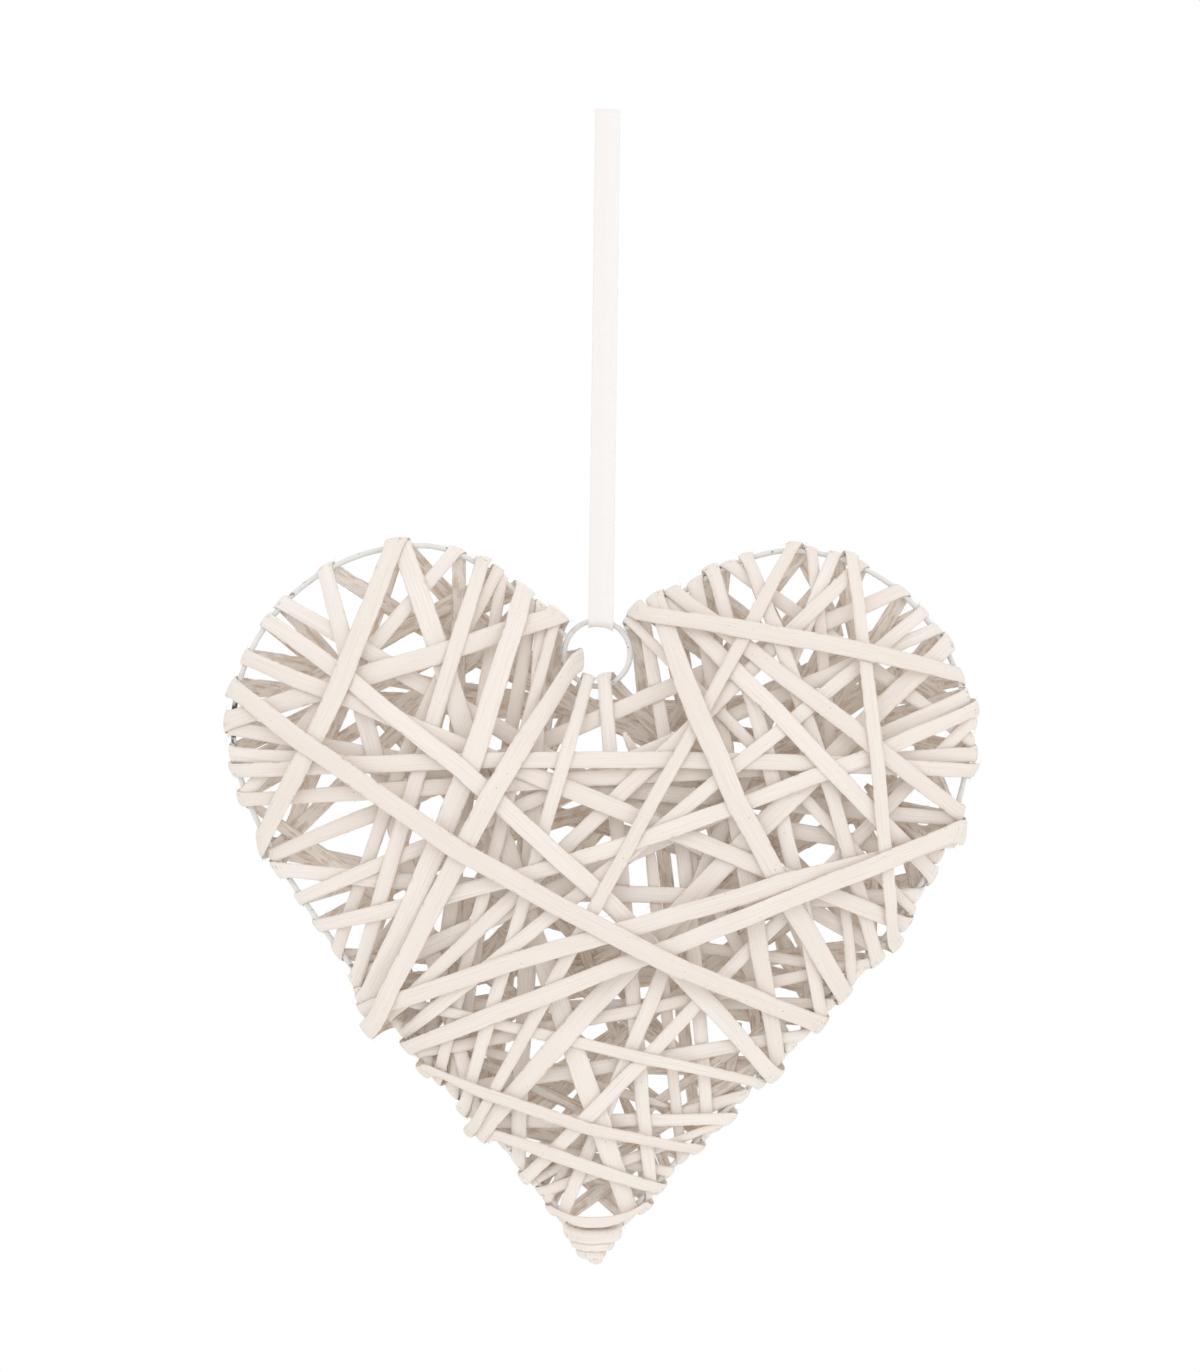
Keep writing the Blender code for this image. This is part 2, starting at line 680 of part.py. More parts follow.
def band(name, rings, material, closed=False):
    """A closed strip of four-cornered sections."""
    verts = [p for ring in rings for p in ring]
    faces = []
    count = len(rings)
    for k in range(count if closed else count - 1):
        a, b = 4 * k, 4 * ((k + 1) % count)
        faces += [(a, a + 1, b + 1), (a, b + 1, b)]
        faces += [(a + 1, a + 2, b + 2), (a + 1, b + 2, b + 1)]
        faces += [(a + 3, b + 2, a + 2), (a + 3, b + 3, b + 2)]
        faces += [(a + 3, a, b), (a + 3, b, b + 3)]
    if not closed:
        end = 4 * (count - 1)
        faces += [(0, 3, 2, 1), (end, end + 1, end + 2, end + 3)]
    mesh = bpy.data.meshes.new(name)
    mesh.from_pydata([tuple(v) for v in verts], [], faces)
    work = bmesh.new()
    work.from_mesh(mesh)
    bmesh.ops.recalc_face_normals(work, faces=work.faces[:])
    if work.calc_volume(signed=True) < 0:
        bmesh.ops.reverse_faces(work, faces=work.faces[:])
    work.to_mesh(mesh)
    work.free()
    return add_object(name, mesh, material)


def add_object(name, data, material):
    made = bpy.data.objects.new(name, data)
    data.materials.append(material)
    heart.objects.link(made)
    return made


def wire(name, points, diameter, material):
    """A round wire with closed ends."""
    curve = bpy.data.curves.new(name, "CURVE")
    curve.dimensions = "3D"
    curve.bevel_depth = diameter / 2
    curve.bevel_resolution = WIRE_ROUND_STEPS
    curve.use_fill_caps = True
    spline = curve.splines.new("POLY")
    spline.points.add(len(points) - 1)
    for point, place in zip(spline.points, points):
        point.co = (*place, 1.0)
    return add_object(name, curve, material)


def plain(name, colour, roughness):
    material = bpy.data.materials.new(name)
    material.use_nodes = True
    shader = material.node_tree.nodes["Principled BSDF"]
    shader.inputs["Base Color"].default_value = (*colour, 1.0)
    shader.inputs["Roughness"].default_value = roughness
    return material


def heart_wire_points():
    """The heart wire in long steps, with short ones round the bend of the tip."""
    total = wire_along[-1]
    tip = left_along[-1]
    before, after = tip - TIP_CARE, tip + TIP_CARE
    at = list(np.linspace(0, before, ceil(before / WIRE_STEP)))
    at += list(np.linspace(before, after, TIP_STEPS + 3)[1:-1])
    at += list(np.linspace(after, total, ceil((total - after) / WIRE_STEP)))
    xs = np.interp(at, wire_along, wire_line[:, 0])
    zs = np.interp(at, wire_along, wire_line[:, 1])
    return [(x, 0.0, z) for x, z in zip(xs, zs)]


def ring_coil_points():
    """A flat coil whose turns lie one behind the other, each crossing to the next in one place."""
    points = []
    crossing = RING_HALF_CROSSING
    pitch = RING_WIRE + LAYING_GAP
    total = 360.0 * RING_TURNS - 2 * crossing
    steps = RING_POINTS * RING_TURNS
    for k in range(steps + 1):
        turned = crossing + total * k / steps
        lap = round(turned / 360.0)
        across = min(max((turned - 360.0 * lap + crossing) / (2 * crossing), 0.0), 1.0)
        if lap == 0 or lap == RING_TURNS:
            layer = 0 if lap == 0 else RING_TURNS - 1
        else:
            layer = lap - 1 + across * across * (3 - 2 * across)
        y = (layer - (RING_TURNS - 1) / 2) * pitch
        a = radians(RING_CROSSING + turned)
        x, z = ring_centre + RING_DIAMETER / 2 * np.array([cos(a), sin(a)])
        points.append((x, y, z))
    return points


def ribbon_rings():
    """A flat band round the peg's room above and the ring's upper wire below."""
    half = RIBBON_THICKNESS / 2
    wire_half = RING_WIRE / 2
    inner = (RING_DIAMETER / 2) * cos(pi / RING_POINTS) - wire_half
    foot = ring_centre[1] + sqrt(inner ** 2 - (RIBBON_WIDTH / 2 + abs(RING_ASIDE)) ** 2)
    top = PEG_ROOM / 2 + half
    bend = ring_depth + RING_BEND_ROOM
    room = bend * cos(pi / 2 / RIBBON_BEND_STEPS) - wire_half - LAYING_GAP
    gap = bend - wire_half - sqrt(room ** 2 - (ring_depth - wire_half) ** 2)
    low = bend + half
    foot_centre = foot - gap + bend
    path = []
    for k in range(RIBBON_BEND_STEPS + 1):
        a = pi * k / RIBBON_BEND_STEPS
        path.append((-top * cos(a), -top + half + top * sin(a), -cos(a), sin(a)))
    for k in range(1, RIBBON_LEG_STEPS):
        share = k / RIBBON_LEG_STEPS
        path.append((top + (low - top) * share, (-top + half) * (1 - share) + foot_centre * share, 1.0, 0.0))
    for k in range(RIBBON_BEND_STEPS + 1):
        a = pi * k / RIBBON_BEND_STEPS
        path.append((low * cos(a), foot_centre - low * sin(a), cos(a), -sin(a)))
    for k in range(1, RIBBON_LEG_STEPS):
        share = k / RIBBON_LEG_STEPS
        path.append((-low + (low - top) * share, foot_centre * (1 - share) + (-top + half) * share, -1.0, 0.0))
    rings = []
    for y, z, ny, nz in path:
        x = RIBBON_WIDTH / 2
        rings.append([
            Vector((-x, y + ny * half, z + nz * half)),
            Vector((x, y + ny * half, z + nz * half)),
            Vector((x, y - ny * half, z - nz * half)),
            Vector((-x, y - ny * half, z - nz * half)),
        ])
    return rings


def tip_binding_rings():
    """A strip wound round both legs of the wire just over the tip."""
    half = BINDING_THICKNESS / 2
    tip_z = wire_line[:, 1].min()
    rise = (BINDING_WIDTH + LAYING_GAP) * BINDING_TURNS
    half_side = pi / BINDING_TURN_STEPS
    legs = []
    for line in (left_half, right_half):
        lower = line[line[:, 1] < lobe_top - HEART_HEIGHT / 2]
        legs.append(lower[np.argsort(lower[:, 1])])
    rings = []
    steps = BINDING_TURN_STEPS * BINDING_TURNS
    for k in range(steps + 1):
        a = half_side * (1 + 2 * k)
        middle = tip_z + TIP_COVER + rise * k / steps
        leg = legs[1] if cos(a) > 0 else legs[0]
        corners = []
        for side in (1, -1):
            reach = (BINDING_ROUND * WIRE_DIAMETER / 2 + LAYING_GAP + half + side * half) / cos(half_side)
            for edge in ((0.5, -0.5) if side > 0 else (-0.5, 0.5)):
                z = middle + edge * BINDING_WIDTH
                x = np.interp(max(z, tip_z) + WIRE_DIAMETER / 2, leg[:, 1], leg[:, 0])
                corners.append(Vector((x + reach * cos(a), reach * sin(a), z)))
        rings.append(corners)
    return rings


for old in list(bpy.data.objects):
    bpy.data.objects.remove(old, do_unlink=True)

heart = bpy.data.collections.new("wicker_heart")
bpy.context.scene.collection.children.link(heart)

willow = plain("painted_willow", WILLOW_COLOUR, 0.65)
enamel = plain("painted_wire", WIRE_COLOUR, 0.30)
fabric = plain("woven_ribbon", RIBBON_COLOUR, 0.80)

wire("heart_wire", heart_wire_points(), WIRE_DIAMETER, enamel)
wire("hanging_ring", ring_coil_points(), RING_WIRE, enamel)
band("hanging_ribbon", ribbon_rings(), fabric, closed=True)
for number, runs in enumerate(STRIPS, 1):
    band("willow_strip_%02d" % number, corners_of(*lay_strip(runs)), willow)
band("tip_binding", tip_binding_rings(), willow)
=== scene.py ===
"""Looks of a wicker heart: painted split willow wound round an enamelled wire, on a ribbon loop.

Metres, +Z up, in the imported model's frame. The heart stands in the XZ plane, faces -Y, and
hangs from the inside of the ribbon's upper fold, which is the origin.
"""

from math import ceil, cos, pi, radians, sin, sqrt

import bmesh
import bpy
import numpy as np
from mathutils import Matrix, Vector
from mathutils.bvhtree import BVHTree
from mathutils.geometry import interpolate_bezier


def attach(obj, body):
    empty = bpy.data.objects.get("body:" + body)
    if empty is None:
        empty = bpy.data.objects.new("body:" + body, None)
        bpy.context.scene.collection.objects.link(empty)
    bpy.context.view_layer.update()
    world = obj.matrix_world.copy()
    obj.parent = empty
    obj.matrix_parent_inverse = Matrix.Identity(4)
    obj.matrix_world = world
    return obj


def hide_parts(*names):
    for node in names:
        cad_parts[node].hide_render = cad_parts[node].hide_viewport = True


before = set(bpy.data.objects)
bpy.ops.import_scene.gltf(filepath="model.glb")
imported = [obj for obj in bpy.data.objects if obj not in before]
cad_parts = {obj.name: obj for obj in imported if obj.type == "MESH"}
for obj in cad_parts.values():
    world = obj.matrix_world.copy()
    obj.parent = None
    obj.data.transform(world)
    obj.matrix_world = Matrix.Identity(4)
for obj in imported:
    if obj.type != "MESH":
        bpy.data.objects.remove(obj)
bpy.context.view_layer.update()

MM = 1000

# Picture: where the eye is, what height it looks at, how much of the object plane it sees, and
# how far the picture leans to one side over its width
EYE_DISTANCE = 2.2
EYE_HEIGHT = -0.2314
FRAME_HEIGHT = 0.551
FILM = 36.0
LEAN = 0.0136
SIGHT = 100.0

# Ground and light; the floor ends under the view, so the hanging heart is seen against the sky.
# Each soft box has its name, place and power.
FLOOR_LEVEL = -0.60
FLOOR_REACH = 0.70
SKY_SEEN = 1.0
SKY_LIGHT = 0.91
SOFT_BOX_SIZE = 1.6
SOFT_BOX_AIM = (0.0, 0.0, -0.33)
SOFT_BOXES = (
    ("front_box", (-0.7, -2.3, 1.3), 7.0),
    ("side_box", (1.9, -1.6, 0.2), 4.0),
    ("back_box", (0.7, 2.3, 1.3), 9.0),
)

# Heart wire and ring, the same sizes as the solids. A row of an outline holds percent of the
# width aside, percent of the height below the lobes, the wire's direction in degrees, and its
# handles before and after in percent of the width.
HEART_WIDTH = 0.2953
HEART_HEIGHT = 0.2830
WIRE_DIAMETER = 0.0022
TIP_BEND = 0.0032
RING_DIAMETER = 0.0264
RING_TURNS = 2
RING_ASIDE = -0.0013
RING_CROSSING = 110
RING_HALF_CROSSING = 30.0
RING_GAP = 0.0003
LOBES_OVER_RING = 0.0423
LEFT_OUTLINE = (
    (-24.4, 0.0, 180, 8.1, 13.9),
    (-49.8, 26.1, 270, 13.9, 8.8),
    (-38.4, 52.7, 306, 8.8, 15.2),
    (-16.3, 79.5, 313, 10.2, 6.8),
)
RIGHT_OUTLINE = (
    (17.6, 79.9, 46, 6.8, 10.2),
    (38.6, 55.5, 52, 10.2, 8.5),
    (50.2, 26.9, 90, 9.5, 13.9),
    (25.7, 0.0, 180, 13.5, 7.5),
)
TIP_BELOW = 99.8
TIP_DIRECTIONS = (305, 52)
TIP_HANDLE = 7.4
RING_JOINS = (152, 42)
JOIN_DIRECTIONS = (143, 212)
JOIN_HANDLES = (4.0, 6.1)
BEZIER_STEPS = 40
RING_STEPS = 96
WIRE_SIDES = 16
WIRE_LUMPS = 0.00008
LUMPS_TO_THE_METRE = 260.0

# The one place where the wire has rusted through, how far the rust reaches, and how strong it is
RUST_PLACE = (-0.147, 0.0, -0.247)
RUST_REACH = 0.012
RUST_FULL = 1.3

# Ribbon. The solid ring has so many points a turn, and the solid ribbon's folds so many steps:
# the flats between them take a little room.
RIBBON_WIDTH = 0.010
RIBBON_THICKNESS = 0.0005
RIBBON_DROP = 0.2051
PEG_ROOM = 0.0085
RING_BEND_ROOM = 0.001
SOLID_RING_POINTS = 18
SOLID_FOLD_STEPS = 8
RIBBON_STEP = 0.0012
RIBBON_BEND_STEPS = 24
RIBBON_SIDES = 22
RIBBON_CUP_REACH = 0.012
# its section: how it is rounded across and over, how full it is, and how its woven edge swells
RIBBON_ROUNDING = (0.7, 0.35)
RIBBON_FILL = 0.9
HEM_SWELL = 0.25
HEM_POWER = 12
# waves of its edge: share of the width, radians to the metre, and where they start
RIBBON_WAVES = ((0.006, 310, 0.0), (0.004, 740, 2.0))

# Willow strips: the section of a split rod in metres over and under its middle surface, the
# powers and shares that round it, and how far apart the patterns of two strips or faces lie
STRIPS = 19
STRIP_EDGE = -0.00022
STRIP_CROWN = 0.00062
STRIP_FLAT = -0.00050
STRIP_SIDES = 20
SIDE_CROWDING = 0.85
EDGE_POWER = 8.0
CROWN_POWERS = (2.4, 0.6)
CROWN_SWING = 0.6
FLAT_POWER = 6.0
INSIDE_UNDER = -0.001
BITE_FROM = 0.08
SEED_APART = 3.7
FACES_APART = 11.3
PATTERNS_APART = 7.3
TONE_SEED = 11

# Slivers sprung from the edges: where an edge is, how many more there are at a fold, how they
# lean out and stray, and their shape and lengths
SLIVER_EDGE = 0.9
SLIVER_FOLDS = 3.0
SLIVER_LEAN = 0.60
SLIVER_ASTRAY = 0.45
SLIVER_SIDES = 4
SLIVER_RADII = (0.00004, 0.00025)
SLIVER_LENGTHS = (0.3, 1.2)

# Rows along a strip: how near two corners of its solid are one, how far and by what turn the
# rows lie apart, how corners are rounded and on runs of how many reaches, how strongly a bend
# counts as a fold, and how the ends run out
SOLID_MERGE = 1e-5
ROW_STEP = 0.0013
ROW_TURN = 0.22
CORNER_REACH = 0.008
CORNER_ROUNDS = 3
LONG_RUN = 3
FOLD_LOOK = 0.004
END_REACH = 0.016
END_SHARE = 8
END_TUCK = 0.0010
END_NARROWS = 0.65

# The strip whose lowest run in front hangs slack over the tip: how low that run is, how far its
# middle hangs down and stands off, and how flat the hang is
SLACK_STRIP = 12
SLACK_UNDER = 0.024
SLACK_DROP = 0.0050
SLACK_OUT = 0.0009
SLACK_FLAT = 2.6
SLACK_ROWS = 13

# Thin strips wound in under the others: the first run's face (1 back, -1 front), then its stops
# in mm. A stop is a mark along the wire from the tip, minus to the left, with the strip's width
# there, or the x, z and width of a loose end.
FILLERS = (
    (1, ((-20, -300, 4.5), (45, 5.0), (-57, 5.5), (60, -330, 4.5))),
    (-1, ((20, -290, 4.5), (53, 4.6), (-121, 4.2), (30, -400, 4.0))),
    (1, ((-40, -330, 6.0), (87.5, 7.0), (-10, -420, 5.0))),
    (-1, ((10, -250, 5.0), (115.5, 5.5), (-28.5, 4.0), (10, -380, 4.0))),
    (1, ((40, -240, 4.5), (138.5, 4.6), (-60, -360, 4.5))),
    (-1, ((0, -330, 4.5), (156.5, 4.6), (-37, 3.5), (25, -400, 4.0))),
)
# how finely they are laid, and how they turn into a fold, pinched and skewed
WIRE_LOOK = 0.001
FILL_SAMPLE = 0.001
FILL_EACH = 4
FILL_TURN = 0.020
FILL_FOLD = 0.00185
FILL_FOLD_STEPS = 6
FILL_PINCH = 0.85
FILL_SKEW = 1.4
# how high they may lie, what they keep clear of, and how sharply they bend
FILL_TOP = 0.020
FILL_CLEAR = 0.0009
FILL_LAYER = 0.0012
FILL_LEAST = 0.0009
FILL_MARGIN = 1.0
FILL_LOOKS = 5
FILL_BEND = 4.0
FILL_EASE = 3
FILL_SEED = 50

# Winding round the tip of the wire, from the wire's lowest point up: where there are two values,
# they hold at its lowest and at its highest row
WINDING_TURNS = 3
WINDING_STEPS = 16
WINDING_LOW = -0.0004
WINDING_RISE = 0.0125
WINDING_LOOK = 0.06
WINDING_TILT = 0.0005
WINDING_TILT_TURN = 1.0
WINDING_SAG = 0.0032
WINDING_REACH = (0.0036, 0.0026)
WINDING_DEPTH = (0.0042, 0.0056)
WINDING_WIDTH = (0.0052, 0.0060)
WINDING_SHINGLE = 0.42
WINDING_FLARE = 0.45
WINDING_SEED = 31

# Cap, the last strip under the tip, from the front up to the back
CAP_ASIDE = 0.0006
CAP_LEVEL = 0.0012
CAP_DROP = 0.0043
CAP_DEPTH = 0.0036
CAP_WIDTH = 0.0080
CAP_NARROWS = 0.45
CAP_LEAN = -0.0006
CAP_PAST = 0.35
CAP_STEPS = 14
CAP_SEED = 32

# What makes the winding and the cap rounder and cleaner than the long strips
TIP_SIZES = {"Crown level": 0.0009, "Sliver share": 0.003}

# Kinds of node, and the sockets of the two colours of a mix
MATH = "ShaderNodeMath"
VECTOR = "ShaderNodeVectorMath"
NOISE = "ShaderNodeTexNoise"
RANGE = "ShaderNodeMapRange"
MIX = "ShaderNodeMix"
NAMED = "GeometryNodeInputNamedAttribute"
FIRST, SECOND = 6, 7


def paint(code):
    """Linear colour of an sRGB hex code."""
    parts = [int(code[k:k + 2], 16) / 255 for k in (1, 3, 5)]
    linear = [p / 12.92 if p <= 0.04045 else ((p + 0.055) / 1.055) ** 2.4 for p in parts]
    return (*linear, 1.0)


def feed(tree, value, socket):
    """Put a value, or what a node or a socket gives out, into a socket."""
    if isinstance(value, bpy.types.Node):
        value = next(out for out in value.outputs if out.enabled)
    if isinstance(value, bpy.types.NodeSocket):
        tree.links.new(value, socket)
    elif value is not None:
        socket.default_value = value


def add(tree, kind, *values, into=(), **settings):
    """One node of a tree, with its settings and with what goes into its sockets in turn."""
    made = tree.nodes.new(kind)
    for name, value in settings.items():
        setattr(made, name, value)
    for socket, value in [*enumerate(values), *dict(into).items()]:
        feed(tree, value, made.inputs[socket])
    return made


def new_material(name):
    """A new material and its node tree."""
    material = bpy.data.materials.new(name)
    material.use_nodes = True
    return material, material.node_tree


def finished(material, looks):
    """The material, with the named sockets of its surface shader fed."""
    tree = material.node_tree
    for label, value in looks.items():
        feed(tree, value, tree.nodes["Principled BSDF"].inputs[label])
    return material


def new_object(name, data):
    """An object at the origin, linked to the scene."""
    made = bpy.data.objects.new(name, data)
    bpy.context.scene.collection.objects.link(made)
    return made


def unit(v):
    """Vectors of length one the same way."""
    return v / np.linalg.norm(v, axis=-1, keepdims=True)


def heading(degrees):
    """Direction in the wire's plane, x and z."""
    return np.array([cos(radians(degrees)), sin(radians(degrees))])


def lengths_along(points):
    """How far along a line each of its points lies."""
    return np.concatenate([[0.0], np.cumsum(np.linalg.norm(np.diff(points, axis=0), axis=1))])


def read_at(at, marks, rows):
    """Rows at places between the marks at which the given rows lie."""
    return np.stack([np.interp(at, marks, column) for column in np.transpose(rows)], axis=-1)


def middles_of(rows):
    """Middles of rows across, between their left and right edges."""
    return (rows[:, :3] + rows[:, 3:6]) / 2


# Split willow, dipped in chalky white emulsion: the outer face is smooth and rounded with a
# faint lengthwise grain; the pith side is rough and takes the paint in patches, so brown shows.
def painted_willow():
    material, tree = new_material("dipped_split_willow")
    laid = add(tree, "ShaderNodeAttribute", attribute_name="laid").outputs["Vector"]
    pith, edge, fold, tone = (
        add(tree, "ShaderNodeAttribute", attribute_name=name).outputs["Fac"]
        for name in ("pith", "edge", "fold", "tone")
    )
    # name, length and width of a patch in mm and its detail, then where in the noise it starts
    # and is full, how much it covers there, and how it eases in. Real grain is about 0.1 mm wide
    # and is drawn 0.5 mm wide so that it shows.
    found, shown = {}, {}
    for name, length, width, detail, low, high, most, ease in (
        ("grain", 24.0, 0.5, 4.0, 0.42, 0.78, 0.70, "SMOOTHSTEP"),
        ("fibres", 14.0, 0.3, 3.0, 0.38, 0.62, 1.0, "SMOOTHSTEP"),
        ("cover", 9.0, 2.2, 3.0, 0.46, 0.60, 0.9, "SMOOTHSTEP"),
        ("bloom", 30.0, 9.0, 2.0, 0.4, 0.7, 0.6, "LINEAR"),
        ("wear", 5.0, 3.0, 4.0, 0.54, 0.68, 0.55, "SMOOTHSTEP"),
        ("crack", 0.6, 2.5, 2.0, 0.60, 0.68, 0.60, "SMOOTHSTEP"),
        ("fleck", 1.8, 0.6, 1.0, 0.76, 0.82, 0.80, "SMOOTHSTEP"),
    ):
        scale = (MM / length, MM / width, PATTERNS_APART)
        scaled = add(tree, VECTOR, laid, scale, operation="MULTIPLY")
        found[name] = add(tree, NOISE, scaled, None, 1.0, detail, 0.6)
        shown[name] = add(
            tree, RANGE, found[name], low, high, 0.0, most, interpolation_type=ease
        )
    # outer face: paint, darker in the grain, duller in clouds and by the strip's own tone
    toned = add(tree, MATH, tone, 0.50, operation="MULTIPLY")
    outer = paint("#F8F0E9")
    for much, shade in (
        (shown["grain"], "#DCCFC3"), (shown["bloom"], "#F2E9E1"), (toned, "#EADED3"),
    ):
        outer = add(tree, MIX, much, into={FIRST: outer, SECOND: paint(shade)}, data_type="RGBA")
    # pith side: whiter where the paint lies, brown between the fibres where it doesn't
    covered, bare = (
        add(
            tree, MIX, shown["fibres"],
            into={FIRST: paint(between), SECOND: paint(upon)}, data_type="RGBA",
        )
        for between, upon in (("#F0E6DC", "#FCF7F1"), ("#D0BAA7", "#EEE2D6"))
    )
    inner = add(tree, MIX, shown["cover"], into={FIRST: covered, SECOND: bare}, data_type="RGBA")
    colour = add(tree, MIX, pith, into={FIRST: outer, SECOND: inner}, data_type="RGBA")
    # paint rubbed off edges, cracked across at the folds, and missed in small flecks
    for name, where, shade in (
        ("wear", edge, "#A58C72"), ("crack", fold, "#83705C"), ("fleck", 1.0, "#6E5A49"),
    ):
        marks = add(tree, MATH, shown[name], where, operation="MULTIPLY")
        colour = add(tree, MIX, marks, into={FIRST: colour, SECOND: paint(shade)}, data_type="RGBA")
    # the pith side is rougher, and its fibres stand 2.5 times as high as the outer face's grain
    rough = add(tree, RANGE, pith, None, None, 0.50, 0.90)
    deep = add(tree, MATH, found["fibres"], pith, operation="MULTIPLY")
    height = add(tree, MATH, deep, 2.5, found["grain"], operation="MULTIPLY_ADD")
    bump = add(
        tree, "ShaderNodeBump", into={"Strength": 0.4, "Distance": 0.00025, "Height": height}
    )
    looks = {"Base Color": colour, "Roughness": rough, "Normal": bump, "IOR": 1.46}
    return finished(material, looks)


# Mild steel wire with a thin, glossy coat of white enamel: clouded, chipped to grey in specks of
# 2 to 3 mm, and rusted through in one place
def enamelled_wire():
    material, tree = new_material("white_enamel_on_steel_wire")
    place = add(tree, "ShaderNodeTexCoord").outputs["Object"]
    rust = add(tree, "ShaderNodeAttribute", attribute_name="rust").outputs["Fac"]
    cloud, chips = (add(tree, NOISE, place, None, to_metre, 3.0) for to_metre in (90.0, 420.0))
    chipped = add(tree, RANGE, chips, 0.64, 0.70, 0.0, 0.8)
    eaten = add(tree, MATH, chips, rust, operation="ADD")
    eaten = add(tree, RANGE, eaten, 1.15, 1.35)
    colour = paint("#F4F2EF")
    for much, shade in ((cloud, "#DAD8D5"), (chipped, "#8B857E"), (eaten, "#5B4A3F")):
        colour = add(tree, MIX, much, into={FIRST: colour, SECOND: paint(shade)}, data_type="RGBA")
    rough = add(tree, RANGE, chips, None, None, 0.18, 0.38)
    bump = add(tree, "ShaderNodeBump", into={"Strength": 0.2, "Distance": 0.0002, "Height": cloud})
    looks = {"Base Color": colour, "Roughness": rough, "Normal": bump, "IOR": 1.5}
    return finished(material, looks)


# Plain-woven cotton ribbon: matt, with fine threads both ways, painted shade in its weave and a
# firmer woven edge. Threads of a real ribbon are about 0.15 mm apart; they are drawn 0.4 mm apart
# so that they show.
def cotton_ribbon():
    material, tree = new_material("plain_woven_cotton")
    thread = add(tree, "ShaderNodeUVMap", uv_map="woven")
    half_wave = pi * MM / 0.4
    turns = add(tree, VECTOR, thread, (half_wave, half_wave, 0.0), operation="MULTIPLY")
    waves = add(tree, "ShaderNodeSeparateXYZ", add(tree, VECTOR, turns, operation="SINE"))
    weave = add(tree, MATH, waves.outputs[0], waves.outputs[1], operation="MULTIPLY")
    # streaks about 1 mm wide and 17 mm long, and a left half that is a little warmer
    pulled = add(tree, VECTOR, thread, (900.0, 60.0, 0.0), operation="MULTIPLY")
    streaks = add(tree, NOISE, pulled, None, 1.0, 3.0)
    across = add(tree, "ShaderNodeSeparateXYZ", thread).outputs[0]
    left = add(tree, RANGE, across, 0.0006, -0.0006)
    # painted shade of the weave: the colour darkens in alternate cells of its checker, as shade
    # between the threads
    between = add(tree, RANGE, weave, -1.0, 1.0, 0.0, 0.3)
    colour = paint("#FEFCFA")
    for much, shade in ((streaks, "#F8F4F1"), (left, "#FCF6F4"), (between, "#ECE6E1")):
        colour = add(tree, MIX, much, into={FIRST: colour, SECOND: paint(shade)}, data_type="RGBA")
    bump = add(tree, "ShaderNodeBump", into={"Strength": 0.25, "Distance": 0.0002, "Height": weave})
    return finished(material, {
        "Base Color": colour, "Normal": bump, "Roughness": 0.85,
        "Sheen Weight": 0.25, "Sheen Roughness": 0.5,
    })


def new_tree(name, sockets):
    """An empty geometry tree with its named sizes; returns it and its sizes."""
    tree = bpy.data.node_groups.new(name, "GeometryNodeTree")
    for label, kind, start in sockets:
        socket = tree.interface.new_socket(label, in_out="INPUT", socket_type="NodeSocket" + kind)
        if start is not None:
            socket.default_value = start
    tree.interface.new_socket("Made", in_out="OUTPUT", socket_type="NodeSocketGeometry")
    return tree, add(tree, "NodeGroupInput").outputs


def end_tree(tree, shape, finish):
    """Make what a tree has made real and smooth, give it its finish and hand it out."""
    real = add(tree, "GeometryNodeRealizeInstances", shape)
    smooth = add(tree, "GeometryNodeSetShadeSmooth", real)
    coated = add(tree, "GeometryNodeSetMaterial", smooth, into={"Material": finish})
    add(tree, "NodeGroupOutput", coated)
    return tree


